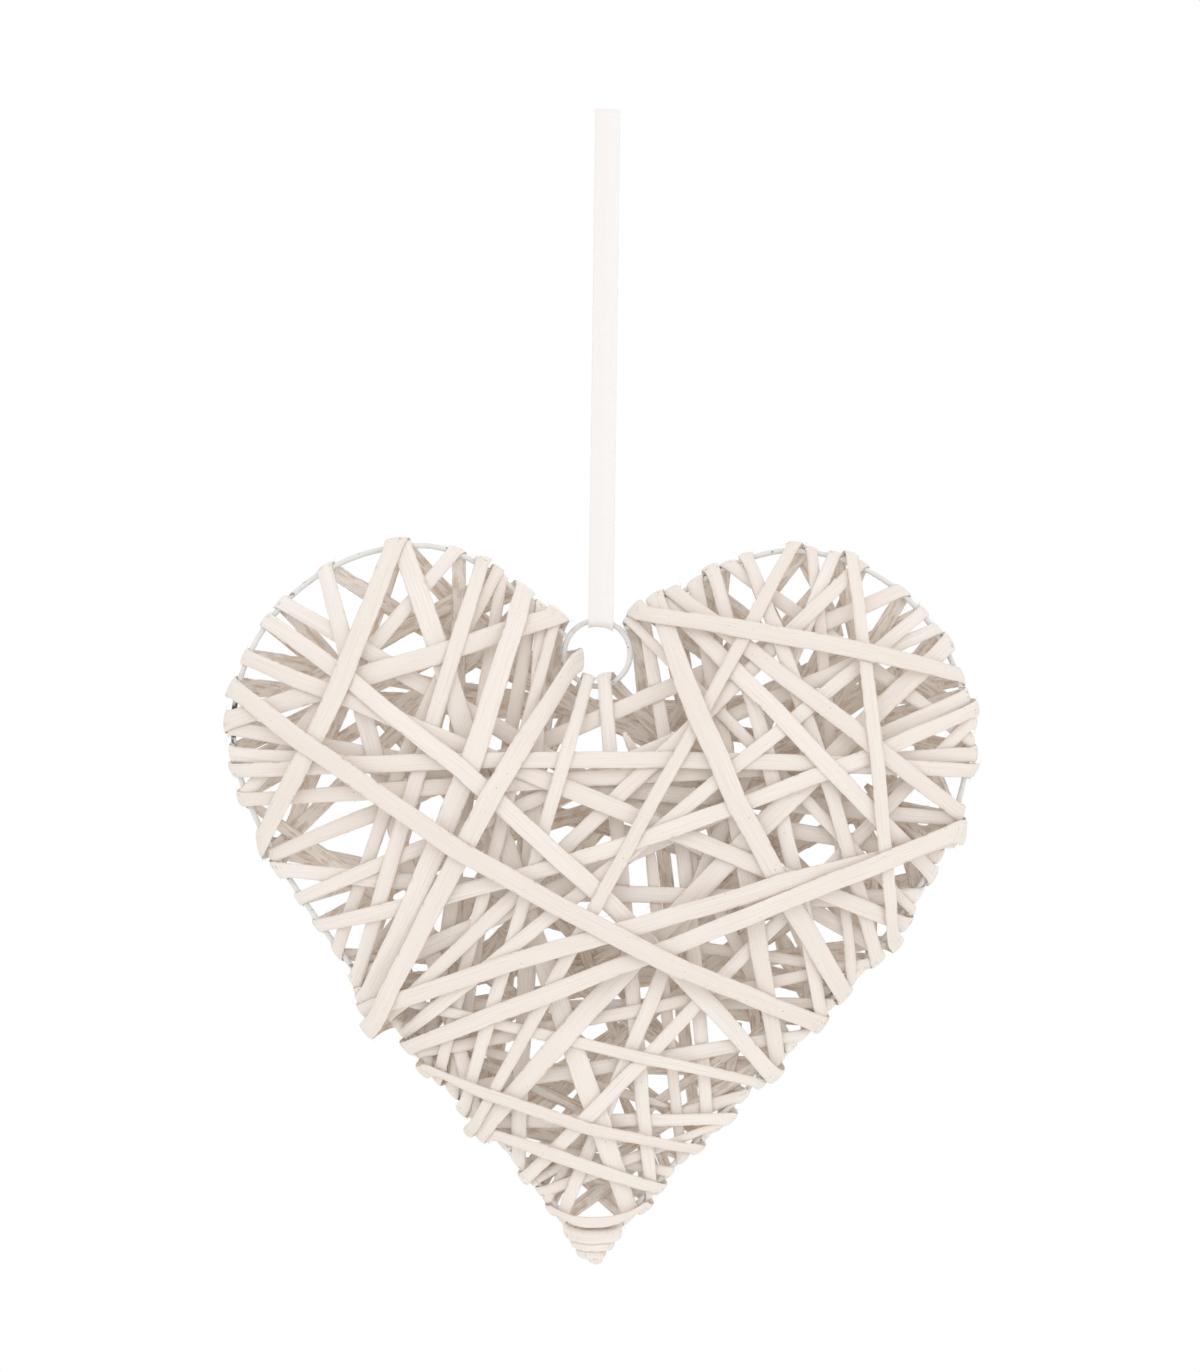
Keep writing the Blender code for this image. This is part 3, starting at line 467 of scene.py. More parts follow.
def strip_tree():
    """A split-willow strip swept along its rows: round outside, flat inside, with loose slivers."""
    tree, size = new_tree("split_willow_strip", (
        ("Rows", "Geometry", None),
        ("Row count", "Int", 2),
        ("Edge level", "Float", STRIP_EDGE),
        ("Crown level", "Float", STRIP_CROWN),
        ("Flat level", "Float", STRIP_FLAT),
        ("Width swing", "Float", 0.30),
        ("Side bend", "Float", 0.60),
        ("Fold flare", "Float", 0.16),
        ("Grain relief", "Float", 0.00012),
        ("Pith relief", "Float", 0.00040),
        ("Chip depth", "Float", 0.0020),
        ("Sliver length", "Float", 0.011),
        ("Sliver share", "Float", 0.018),
        ("Tone", "Float", 0.5),
        ("Seed", "Int", 0),
        ("Finish", "Material", None),
    ))
    # a sleeve of radius one, whose sides and height tell each point its side and its row
    last_row = add(tree, MATH, size["Row count"], 1.0, operation="SUBTRACT")
    sleeve = add(
        tree, "GeometryNodeMeshCylinder", STRIP_SIDES, last_row, None, 1.0, 1.0, fill_type="NGON"
    )
    place = add(tree, "GeometryNodeInputPosition")
    aside, over, up_it = add(tree, "ShaderNodeSeparateXYZ", place).outputs
    row = add(tree, MATH, up_it, 0.5, operation="ADD")
    row = add(tree, MATH, row, last_row, operation="MULTIPLY")
    row = add(tree, MATH, row, operation="ROUND")
    taken = {}
    for name, kind in (
        ("middle", "FLOAT_VECTOR"), ("half", "FLOAT_VECTOR"), ("up", "FLOAT_VECTOR"),
        ("way", "FLOAT_VECTOR"), ("along", "FLOAT"), ("fold", "FLOAT"),
    ):
        kept = add(tree, NAMED, name, data_type=kind)
        taken[name] = add(
            tree, "GeometryNodeSampleIndex", size["Rows"], kept, row, data_type=kind
        )
    width = add(tree, VECTOR, taken["half"], operation="LENGTH").outputs["Value"]

    # places across from -1 to 1, a little nearer together at the edges
    which = add(tree, MATH, aside, operation="SIGN")
    out = add(tree, MATH, aside, operation="ABSOLUTE")
    out = add(tree, MATH, out, SIDE_CROWDING, operation="POWER")
    across = add(tree, MATH, which, out, operation="MULTIPLY")
    reach = add(tree, MATH, across, width, operation="MULTIPLY")
    inside = add(tree, MATH, over, INSIDE_UNDER, operation="LESS_THAN")
    at_edge = add(tree, MATH, out, EDGE_POWER, operation="POWER")
    seeded = add(tree, MATH, size["Seed"], SEED_APART, operation="MULTIPLY")
    other = add(tree, MATH, inside, FACES_APART, seeded, operation="MULTIPLY_ADD")
    laid = add(tree, "ShaderNodeCombineXYZ", taken["along"], reach, seeded)
    placed = add(tree, "ShaderNodeCombineXYZ", taken["along"], reach, other)
    # name, how many to the metre along and across, and detail; both faces bend alike
    found = {}
    for name, per_length, per_width, detail in (
        ("swing", 14.0, 0.0, 1.0),
        ("bend", 26.0, 0.0, 1.0),
        ("thin", 22.0, 0.0, 1.0),
        ("bite", 260.0, 120.0, 3.0),
        ("grain", 90.0, 1500.0, 2.0),
        ("coarse", 160.0, 2600.0, 3.0),
    ):
        start = laid if name == "bend" else placed
        scaled = add(tree, VECTOR, start, (per_length, per_width, 1.0), operation="MULTIPLY")
        noise = add(tree, NOISE, scaled, None, 1.0, detail)
        found[name] = add(tree, MATH, noise, 0.5, operation="SUBTRACT")

    # how far across: the width swings, the strip bends to the sides, and its edges are chipped
    swing = add(tree, MATH, found["swing"], size["Width swing"], 1.0, operation="MULTIPLY_ADD")
    swing = add(tree, MATH, taken["fold"], size["Fold flare"], swing, operation="MULTIPLY_ADD")
    share = add(tree, MATH, across, swing, operation="MULTIPLY")
    share = add(tree, MATH, found["bend"], size["Side bend"], share, operation="MULTIPLY_ADD")
    bite = found["bite"]
    for operation, value in (
        ("SUBTRACT", BITE_FROM), ("MAXIMUM", 0.0), ("MULTIPLY", size["Chip depth"]),
        ("MULTIPLY", at_edge), ("DIVIDE", width), ("MULTIPLY", which),
    ):
        bite = add(tree, MATH, bite, value, operation=operation)
    share = add(tree, MATH, share, bite, operation="SUBTRACT")

    # how far up: a rounded outer face, a nearly flat inner one with coarse fibres
    crown = add(tree, MATH, found["thin"], CROWN_SWING, 1.0, operation="MULTIPLY_ADD")
    crown = add(tree, MATH, size["Crown level"], crown, operation="MULTIPLY")
    crown = add(tree, MATH, crown, size["Edge level"], operation="SUBTRACT")
    curve = add(tree, MATH, out, CROWN_POWERS[0], operation="POWER")
    # a hair over one, so that nothing below nought goes to the next power
    curve = add(tree, MATH, 1.0001, curve, operation="SUBTRACT")
    curve = add(tree, MATH, curve, CROWN_POWERS[1], operation="POWER")
    outer = add(tree, MATH, crown, curve, size["Edge level"], operation="MULTIPLY_ADD")
    outer = add(tree, MATH, found["grain"], size["Grain relief"], outer, operation="MULTIPLY_ADD")
    dip = add(tree, MATH, size["Flat level"], size["Edge level"], operation="SUBTRACT")
    curve = add(tree, MATH, out, FLAT_POWER, operation="POWER")
    curve = add(tree, MATH, 1.0, curve, operation="SUBTRACT")
    inner = add(tree, MATH, dip, curve, size["Edge level"], operation="MULTIPLY_ADD")
    inner = add(tree, MATH, found["coarse"], size["Pith relief"], inner, operation="MULTIPLY_ADD")
    level = add(tree, MIX, inside, into={"A": outer, "B": inner}, data_type="FLOAT")

    # what the finish and the slivers need is stored before the sleeve is moved
    outward = add(tree, VECTOR, taken["half"], into={"Scale": which}, operation="SCALE")
    dressed = sleeve.outputs["Mesh"]
    for name, kind, value in (
        ("laid", "FLOAT_VECTOR", laid), ("pith", "FLOAT", inside), ("edge", "FLOAT", at_edge),
        ("fold", "FLOAT", taken["fold"]), ("tone", "FLOAT", size["Tone"]),
        ("sliver_way", "FLOAT_VECTOR", taken["way"]), ("sliver_out", "FLOAT_VECTOR", outward),
    ):
        dressed = add(
            tree, "GeometryNodeStoreNamedAttribute", dressed, None, name, value, data_type=kind
        )
    moved = add(tree, VECTOR, taken["half"], into={"Scale": share}, operation="SCALE")
    raised = add(tree, VECTOR, taken["up"], into={"Scale": level}, operation="SCALE")
    moved = add(tree, VECTOR, moved, raised, operation="ADD")
    moved = add(tree, VECTOR, moved, taken["middle"], operation="ADD")
    swept = add(tree, "GeometryNodeSetPosition", dressed, None, moved)

    # slivers that have sprung from the edges, more of them at the folds
    edge_of = add(tree, NAMED, "edge", data_type="FLOAT")
    fold_of = add(tree, NAMED, "fold", data_type="FLOAT")
    way_of = add(tree, NAMED, "sliver_way", data_type="FLOAT_VECTOR")
    out_of = add(tree, NAMED, "sliver_out", data_type="FLOAT_VECTOR")
    chance = add(tree, MATH, fold_of, SLIVER_FOLDS, 1.0, operation="MULTIPLY_ADD")
    chance = add(tree, MATH, chance, size["Sliver share"], operation="MULTIPLY")
    draw = add(tree, "FunctionNodeRandomValue", into={"Seed": size["Seed"]}, data_type="FLOAT")
    picked = add(tree, MATH, draw, chance, operation="LESS_THAN")
    on_edge = add(tree, MATH, edge_of, SLIVER_EDGE, operation="GREATER_THAN")
    picked = add(tree, MATH, picked, on_edge, operation="MULTIPLY")
    astray = add(
        tree, "FunctionNodeRandomValue", (-SLIVER_ASTRAY,) * 3, (SLIVER_ASTRAY,) * 3,
        into={"Seed": size["Seed"]}, data_type="FLOAT_VECTOR",
    )
    lean = add(tree, VECTOR, out_of, operation="NORMALIZE")
    lean = add(tree, VECTOR, lean, into={"Scale": SLIVER_LEAN}, operation="SCALE")
    lean = add(tree, VECTOR, lean, way_of, operation="ADD")
    lean = add(tree, VECTOR, lean, astray, operation="ADD")
    turned = add(tree, "FunctionNodeAlignRotationToVector", None, None, lean, axis="Z")
    sliver = add(
        tree, "GeometryNodeMeshCone", SLIVER_SIDES, 2, None, *SLIVER_RADII, size["Sliver length"],
        fill_type="NGON",
    )
    least, most = SLIVER_LENGTHS
    long = add(
        tree, "FunctionNodeRandomValue", into={2: least, 3: most, "Seed": size["Seed"]},
        data_type="FLOAT",
    )
    slivers = add(
        tree, "GeometryNodeInstanceOnPoints", swept, picked, sliver.outputs["Mesh"],
        into={"Rotation": turned, "Scale": long},
    )
    joined = add(tree, "GeometryNodeJoinGeometry", slivers)
    feed(tree, swept, joined.inputs[0])
    return end_tree(tree, joined, size["Finish"])


def wire_tree():
    """A round wire swept along a path, with the slight lumps of its paint."""
    tree, size = new_tree("enamelled_wire", (
        ("Path", "Geometry", None),
        ("Diameter", "Float", WIRE_DIAMETER),
        ("Sides", "Int", WIRE_SIDES),
        ("Lumps", "Float", WIRE_LUMPS),
        ("Lumps to the metre", "Float", LUMPS_TO_THE_METRE),
        ("Finish", "Material", None),
    ))
    radius = add(tree, MATH, size["Diameter"], 0.5, operation="MULTIPLY")
    path = add(tree, "GeometryNodeMeshToCurve", size["Path"])
    ring = add(
        tree, "GeometryNodeCurvePrimitiveCircle",
        into={"Resolution": size["Sides"], "Radius": radius},
    )
    swept = add(
        tree, "GeometryNodeCurveToMesh",
        into={"Curve": path, "Profile Curve": ring, "Fill Caps": True},
    )
    lump = add(tree, NOISE, into={"Scale": size["Lumps to the metre"], "Detail": 2.0})
    centred = add(tree, MATH, lump, 0.5, operation="SUBTRACT")
    by = add(tree, MATH, centred, size["Lumps"], operation="MULTIPLY")
    normal = add(tree, "GeometryNodeInputNormal")
    moved = add(tree, VECTOR, normal, into={"Scale": by}, operation="SCALE")
    lumpy = add(tree, "GeometryNodeSetPosition", swept, into={"Offset": moved})
    return end_tree(tree, lumpy, size["Finish"])


def grown(name, mesh, tree, sizes):
    """The plain mesh that a tree makes of a mesh, as a new object."""
    holder = new_object(name, mesh)
    modifier = holder.modifiers.new("made", "NODES")
    modifier.node_group = tree
    for item in tree.interface.items_tree:
        if item.in_out == "INPUT" and item.name in sizes:
            modifier[item.identifier] = sizes[item.name]
    look = bpy.context.evaluated_depsgraph_get()
    made = bpy.data.meshes.new_from_object(
        holder.evaluated_get(look), preserve_all_data_layers=True, depsgraph=look
    )
    holder.modifiers.remove(modifier)
    holder.data = made
    made.name = name
    return holder


def solid_rows(name):
    """Rows across a strip's solid in order: left edge, right edge and the way out of its face."""
    work = bmesh.new()
    work.from_mesh(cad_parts[name].data)
    bmesh.ops.remove_doubles(work, verts=work.verts[:], dist=SOLID_MERGE)
    beside = {v.index: {e.other_vert(v).index for e in v.link_edges} for v in work.verts}
    places = np.array([v.co for v in work.verts])
    work.free()
    # away from its ends each corner of a strip's solid has six edges
    ends = {k for k, near in beside.items() if len(near) != 6}
    section = {min(ends)}
    while len(section) < 4:
        near = set().union(*(beside[k] for k in section)) - section
        if near & ends:
            section |= near & ends
        else:
            section |= set.intersection(*(beside[k] for k in section))
    order, used = [section], set(section)
    while True:
        section = set().union(*(beside[k] for k in order[-1])) - used
        if not section:
            break
        order.append(section)
        used |= section
    corners = []
    for k, section in enumerate(order):
        other = order[k + 1] if k + 1 < len(order) else order[k - 1]
        outer = [v for v in section if len(beside[v] & other) == 2]
        corners.append((outer, [v for v in section if v not in outer]))
    # of two outer corners one meets both of the next pair, the other meets only its own
    pairs = []
    for (outer, _), (after, _) in zip(corners, corners[1:]):
        lone = next(v for v in outer if len(beside[v] & set(after)) == 1)
        pairs.append((next(v for v in outer if v != lone), lone))
    last_lone = next(iter(beside[pairs[-1][1]] & set(corners[-1][0])))
    pairs.append((next(v for v in corners[-1][0] if v != last_lone), last_lone))
    rows = []
    for pair, (_, inner) in zip(pairs, corners):
        under = [min(inner, key=lambda v: np.linalg.norm(places[v] - places[p])) for p in pair]
        left, right, under_left, under_right = (places[v] for v in (*pair, *under))
        outward = unit(left - under_left + right - under_right)
        rows.append(np.concatenate([(left + under_left) / 2, (right + under_right) / 2, outward]))
    return np.array(rows)


def hang_slack(rows):
    """Rows of a strip whose lowest run in front hangs slack between its folds."""
    middle = middles_of(rows)
    low = middle[:, 2] < wire_line[:, 1].min() + SLACK_UNDER
    first, *_, last = np.flatnonzero(low & (middle[:, 1] < -WIRE_DIAMETER))
    run = read_at(np.linspace(first, last, SLACK_ROWS), np.arange(len(rows)), rows)
    aside = run[:, 0] + run[:, 3]
    across = 2 * (aside - aside[0]) / (aside[-1] - aside[0]) - 1
    hang = (1 - np.abs(across) ** SLACK_FLAT)[:, None]
    # the depth, then the height of both edges
    run[:, 1:6:3] -= SLACK_OUT * hang
    run[:, 2:6:3] -= SLACK_DROP * hang
    return np.concatenate([rows[:first], run, rows[last + 1:]])


def cut_corners(rows, rounds):
    """The rows with each corner cut off a quarter of the way along, so many times over."""
    for _ in range(rounds):
        a, b = rows[:-1], rows[1:]
        cut = np.stack([0.75 * a + 0.25 * b, 0.25 * a + 0.75 * b], axis=1)
        rows = np.concatenate([rows[:1], cut.reshape(-1, rows.shape[1]), rows[-1:]])
    return rows


def close_rows(rows):
    """Close rows along a strip: middle, half width, outward, way, and how far along and bent."""
    near = [rows[0]]
    for a, b in zip(rows, rows[1:]):
        # both edges' steps together, over the root of two, are about the middle's step
        length = np.linalg.norm((b - a)[:6]) / sqrt(2.0)
        if length > LONG_RUN * CORNER_REACH:
            near += [a + (b - a) * CORNER_REACH / length, b - (b - a) * CORNER_REACH / length]
        near.append(b)
    rows = cut_corners(np.array(near), CORNER_ROUNDS)
    steps = np.diff(middles_of(rows), axis=0)
    size = np.linalg.norm(steps, axis=1)
    ways = steps / size[:, None]
    turning = np.arccos(np.clip(np.sum(ways[:-1] * ways[1:], axis=1), -1.0, 1.0))
    turns = np.concatenate([[0.0], (turning[1:] + turning[:-1]) / 2, [0.0, 0.0]])[:len(size)]
    pace = np.concatenate([[0.0], np.cumsum(size / ROW_STEP + turns / ROW_TURN)])
    rows = read_at(np.linspace(0.0, pace[-1], ceil(pace[-1]) + 1), pace, rows)
    middle = middles_of(rows)
    half = (rows[:, :3] - rows[:, 3:6]) / 2
    way = unit(np.gradient(middle, axis=0))
    up = unit(np.cross(way, half))
    if np.sum(up * rows[:, 6:9]) < 0:
        half, up = -half, -up
    along = lengths_along(middle)
    bend = np.linalg.norm(np.gradient(way, axis=0), axis=1) / np.gradient(along)
    # the ends run out narrow and are tucked in
    from_end = np.minimum(along, along[-1] - along) / min(END_REACH, along[-1] / END_SHARE)
    at_end = np.clip(1 - from_end, 0.0, 1.0)[:, None] ** 2
    middle = middle - up * END_TUCK * at_end
    half = half * (1 - END_NARROWS * at_end)
    return middle, half, up, way, along, np.clip(bend * FOLD_LOOK, 0.0, 1.0)


def rows_mesh(name, rows):
    """Loose points that carry a strip's close rows into its tree."""
    middle, half, up, way, along, fold = rows
    mesh = bpy.data.meshes.new(name)
    mesh.from_pydata(middle.tolist(), [], [])
    for label, values in (("middle", middle), ("half", half), ("up", up), ("way", way)):
        kept = mesh.attributes.new(label, "FLOAT_VECTOR", "POINT")
        kept.data.foreach_set("vector", values.ravel())
    for label, values in (("along", along), ("fold", fold)):
        mesh.attributes.new(label, "FLOAT", "POINT").data.foreach_set("value", values)
    return mesh


def bezier_chain(knots):
    """Points of a smooth line through knots of place, direction, handle before and after."""
    line = []
    for (start, a0, _, h0), (end, a1, h1, _) in zip(knots, knots[1:]):
        flat = (start, start + h0 * heading(a0), end - h1 * heading(a1), end)
        line += interpolate_bezier(*(Vector((*p, 0.0)) for p in flat), BEZIER_STEPS)[:-1]
    line.append(Vector((*knots[-1][0], 0.0)))
    return [(p[0], 0.0, p[1]) for p in line]


def path_mesh(name, points, rusts=False):
    """A path for a wire, with how rusty it is at each point."""
    mesh = bpy.data.meshes.new(name)
    mesh.from_pydata(points, [(k, k + 1) for k in range(len(points) - 1)], [])
    rust = np.zeros(len(points))
    if rusts:
        away = np.linalg.norm(np.array(points) - np.array(RUST_PLACE), axis=1)
        rust = np.clip(RUST_FULL - away / RUST_REACH, 0.0, 1.0)
    mesh.attributes.new("rust", "FLOAT", "POINT").data.foreach_set("value", rust)
    return mesh


def heart_wire_path():
    """The heart wire from the ring round the left lobe, the tip and the right lobe to the ring."""
    reach = RING_DIAMETER / 2 + WIRE_DIAMETER / 2 + RING_GAP
    tip = lobe_top - HEART_HEIGHT * TIP_BELOW / 100

    def knot(row):
        """A row of an outline as a knot."""
        place = np.array([HEART_WIDTH * row[0] / 100, lobe_top - HEART_HEIGHT * row[1] / 100])
        return place, row[2], HEART_WIDTH * row[3] / 100, HEART_WIDTH * row[4] / 100

    first, last = (ring_centre + reach * heading(join) for join in RING_JOINS)
    first_handle, last_handle = (HEART_WIDTH * handle / 100 for handle in JOIN_HANDLES)
    tip_handle = HEART_WIDTH * TIP_HANDLE / 100
    return bezier_chain([
        (first, JOIN_DIRECTIONS[0], 0.0, first_handle),
        *(knot(row) for row in LEFT_OUTLINE),
        (np.array([-TIP_BEND / 2, tip]), TIP_DIRECTIONS[0], tip_handle, TIP_BEND / 2),
        (np.array([TIP_BEND / 2, tip]), TIP_DIRECTIONS[1], TIP_BEND / 2, tip_handle),
        *(knot(row) for row in RIGHT_OUTLINE),
        (last, JOIN_DIRECTIONS[1], last_handle, 0.0),
    ])


def join_solids(names):
    """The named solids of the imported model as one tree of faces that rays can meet."""
    verts, faces = [], []
    for name in names:
        start = len(verts)
        verts += [v.co.copy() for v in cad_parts[name].data.vertices]
        faces += [[start + k for k in p.vertices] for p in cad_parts[name].data.polygons]
    return BVHTree.FromPolygons(verts, faces)


def rim_at(mark):
    """Place on the heart wire, its direction there and the way out of the heart, in its plane."""
    looks = mark / MM + np.array([-WIRE_LOOK, 0.0, WIRE_LOOK])
    before, place, after = read_at(looks, wire_along, wire_line)
    t = unit(after - before)
    return place, t, np.array([t[1], -t[0]])


def room_under(face, place, across, laid):
    """How far off the wire's plane a strip's middle may lie, under all that lies on that face."""
    room = FILL_TOP
    for share in np.linspace(-FILL_MARGIN, FILL_MARGIN, FILL_LOOKS):
        x, z = place + across * share
        hit = solids.ray_cast((x, 0.0, z), (0.0, face, 0.0), FILL_TOP * 2)
        if hit[0] is not None:
            room = min(room, hit[3] - FILL_CLEAR)
    if laid[face]:
        others = np.array(laid[face])
        reach = others[:, 2] + np.linalg.norm(across)
        near = np.linalg.norm(others[:, :2] - place, axis=1) < reach
        if near.any():
            room = min(room, others[near, 3].min() - FILL_LAYER)
    return max(room, FILL_LEAST)


def flat_row(middle, across, y, out):
    """A row across a strip that lies along the wire's plane, at one depth."""
    left, right = middle + across, middle - across
    return [left[0], y, left[1], right[0], y, right[1], *out]


def filler_rows(face, stops, laid):
    """Rows of a strip wound in under the others, face by face, with its folds round the wire."""
    places = [rim_at(stop[0])[0] if len(stop) == 2 else np.array(stop[:2]) / MM for stop in stops]
    rows, last = [], None
    for k, (start, end) in enumerate(zip(stops, stops[1:])):
        run = places[k + 1] - places[k]
        length = np.linalg.norm(run)
        way = run / length
        square = np.array([-way[1], way[0]])
        if last is not None and square @ last < 0:
            square = -square
        ends = []
        for stop, near in ((start, last), (end, square)):
            half = stop[-1] / MM / 2
            if len(stop) == 3:
                ends.append(square * half)
                continue
            _, t, n = rim_at(stop[0])
            t = t if t @ (square if near is None else near) > 0 else -t
            ends.append(t * half * FILL_PINCH * min(FILL_SKEW, 1 / abs(way @ n)))
        count = ceil(length / FILL_SAMPLE) + 1
        at = np.linspace(0.0, length, count)
        widths = np.interp(at, [0.0, length], [start[-1] / MM / 2, end[-1] / MM / 2])
        lead = np.clip(at / FILL_TURN, 0.0, 1.0)[:, None]
        tail = np.clip((length - at) / FILL_TURN, 0.0, 1.0)[:, None]
        across = ends[0] * (1 - lead) + square * widths[:, None] * lead
        across = ends[1] * (1 - tail) + across * tail
        middles = places[k] + way * at[:, None]
        # each place's room bounds its neighbours', so the strip bends gently; folds keep theirs
        folds = [index for stop, index in ((start, 0), (end, -1)) if len(stop) == 2]
        room = np.array([room_under(face, m, a, laid) for m, a in zip(middles, across)])
        room[folds] = FILL_FOLD
        away = at[:, None] - at[None, :]
        level = (room[None, :] + FILL_BEND * away * away).min(axis=1)
        window = 2 * FILL_EASE + 1
        padded = np.pad(level, FILL_EASE, mode="edge")
        eased = np.convolve(padded, np.ones(window) / window, mode="valid")
        eased[folds] = FILL_FOLD
        laid[face] += [(*m, w, h) for m, w, h in zip(middles, widths, eased)]
        for s in [*range(0, count - 2, FILL_EACH), count - 1]:
            rows.append(flat_row(middles[s], across[s], face * eased[s], (0.0, face, 0.0)))
        if k < len(stops) - 2:
            _, _, n = rim_at(end[0])
            for turn in np.linspace(0.0, pi, FILL_FOLD_STEPS + 1)[1:-1]:
                middle = places[k + 1] + n * FILL_FOLD * sin(turn)
                out = (n[0] * sin(turn), face * cos(turn), n[1] * sin(turn))
                rows.append(flat_row(middle, ends[1], face * FILL_FOLD * cos(turn), out))
            last = unit(ends[1])
        face = -face
    return np.array(rows)


def winding_rows():
    """Rows of the strip wound up round both legs of the wire, each turn over the last."""
    bottom = wire_line[:, 1].min()
    low = wire_line[:, 1] < bottom + WINDING_LOOK
    legs = [wire_line[low & (wire_along < 0.0)][::-1], wire_line[low & (wire_along >= 0.0)]]
    rows = []
    steps = WINDING_TURNS * WINDING_STEPS
    for k in range(steps + 1):
        a = pi / 2 - 2 * pi * k / WINDING_STEPS
        share = k / steps
        level = bottom + WINDING_LOW + WINDING_RISE * share
        level += WINDING_TILT * sin(a + WINDING_TILT_TURN)
        left, right = (np.interp(max(level, bottom), leg[:, 1], leg[:, 0]) for leg in legs)
        reach, depth, width = (
            np.interp(share, (0.0, 1.0), ends)
            for ends in (WINDING_REACH, WINDING_DEPTH, WINDING_WIDTH)
        )
        spread = (right - left) / 2 + reach
        # in front the upper turns hang lower than at the legs
        level -= WINDING_SAG * share * max(-sin(a), 0.0)
        middle = np.array([(left + right) / 2 + spread * cos(a), depth * sin(a), level])
        out = unit(np.array([depth * cos(a), spread * sin(a), 0.0]))
        # the legs open upwards, and each turn's lower edge stands off over the turn below
        up = np.array([WINDING_FLARE * cos(a), 0.0, 1.0]) - out * WINDING_SHINGLE
        half = unit(up) * width / 2
        rows.append(np.concatenate([middle + half, middle - half, out]))
    return np.array(rows)


def cap_rows():
    """Rows of the short strip under the tip, from the front up to the back."""
    rows = []
    level = wire_line[:, 1].min() + CAP_LEVEL
    for turn in np.linspace(-CAP_PAST, pi + CAP_PAST, CAP_STEPS + 1):
        middle = np.array([CAP_ASIDE, -CAP_DEPTH * cos(turn), level - CAP_DROP * sin(turn)])
        width = CAP_WIDTH * (1 - CAP_NARROWS * max(sin(turn), 0.0))
        half = np.array([width / 2, 0.0, CAP_LEAN])
        out = (0.0, -cos(turn), -sin(turn))
        rows.append(np.concatenate([middle + half, middle - half, out]))
    return np.array(rows)


def ring_path():
    """A flat coil whose turns lie one behind the other, each crossing to the next in one place."""
    points = []
    total = 360.0 * RING_TURNS - 2 * RING_HALF_CROSSING
    steps = RING_STEPS * RING_TURNS
    for k in range(steps + 1):
        turned = RING_HALF_CROSSING + total * k / steps
        lap = round(turned / 360.0)
        across = (turned - 360.0 * lap + RING_HALF_CROSSING) / (2 * RING_HALF_CROSSING)
        across = min(max(across, 0.0), 1.0)
        if lap in (0, RING_TURNS):
            layer = 0 if lap == 0 else RING_TURNS - 1
        else:
            layer = lap - 1 + across * across * (3 - 2 * across)
        x, z = ring_centre + RING_DIAMETER / 2 * heading(RING_CROSSING + turned)
        points.append((x, (layer - (RING_TURNS - 1) / 2) * (WIRE_DIAMETER + RING_GAP), z))
    return points


def ring_arch(aside):
    """Height of the ring's inner face over its centre, so far aside of the centre."""
    inner = RING_DIAMETER / 2 * cos(pi / SOLID_RING_POINTS) - WIRE_DIAMETER / 2
    return sqrt(inner ** 2 - aside ** 2)


def ribbon_path():
    """Middle line of the ribbon's loop with its outward direction, in the YZ plane."""
    half = RIBBON_THICKNESS / 2
    wire_half = WIRE_DIAMETER / 2
    layers_depth = (RING_TURNS - 1) / 2 * (WIRE_DIAMETER + RING_GAP)
    bend = layers_depth + wire_half + RING_BEND_ROOM
    room = bend * cos(pi / 2 / SOLID_FOLD_STEPS) - wire_half - RING_GAP
    foot = ring_centre[1] + ring_arch(RIBBON_WIDTH / 2 + abs(RING_ASIDE))
    # each fold: the side that it starts from, its radius and its centre's level
    top = PEG_ROOM / 2 + half
    upper = (-1, top, -top + half)
    lower = (1, bend + half, foot + wire_half + sqrt(room ** 2 - layers_depth ** 2))
    legs = ceil((-top - lower[2]) / RIBBON_STEP)
    path = []
    for (side, radius, level), (_, next_radius, next_level) in ((upper, lower), (lower, upper)):
        for k in range(RIBBON_BEND_STEPS):
            y, z = side * cos(pi * k / RIBBON_BEND_STEPS), -side * sin(pi * k / RIBBON_BEND_STEPS)
            path.append((radius * y, level + radius * z, y, z))
        for share in np.arange(legs) / legs:
            y = -side * (radius + (next_radius - radius) * share)
            path.append((y, level * (1 - share) + next_level * share, -side, 0.0))
    return np.array(path)


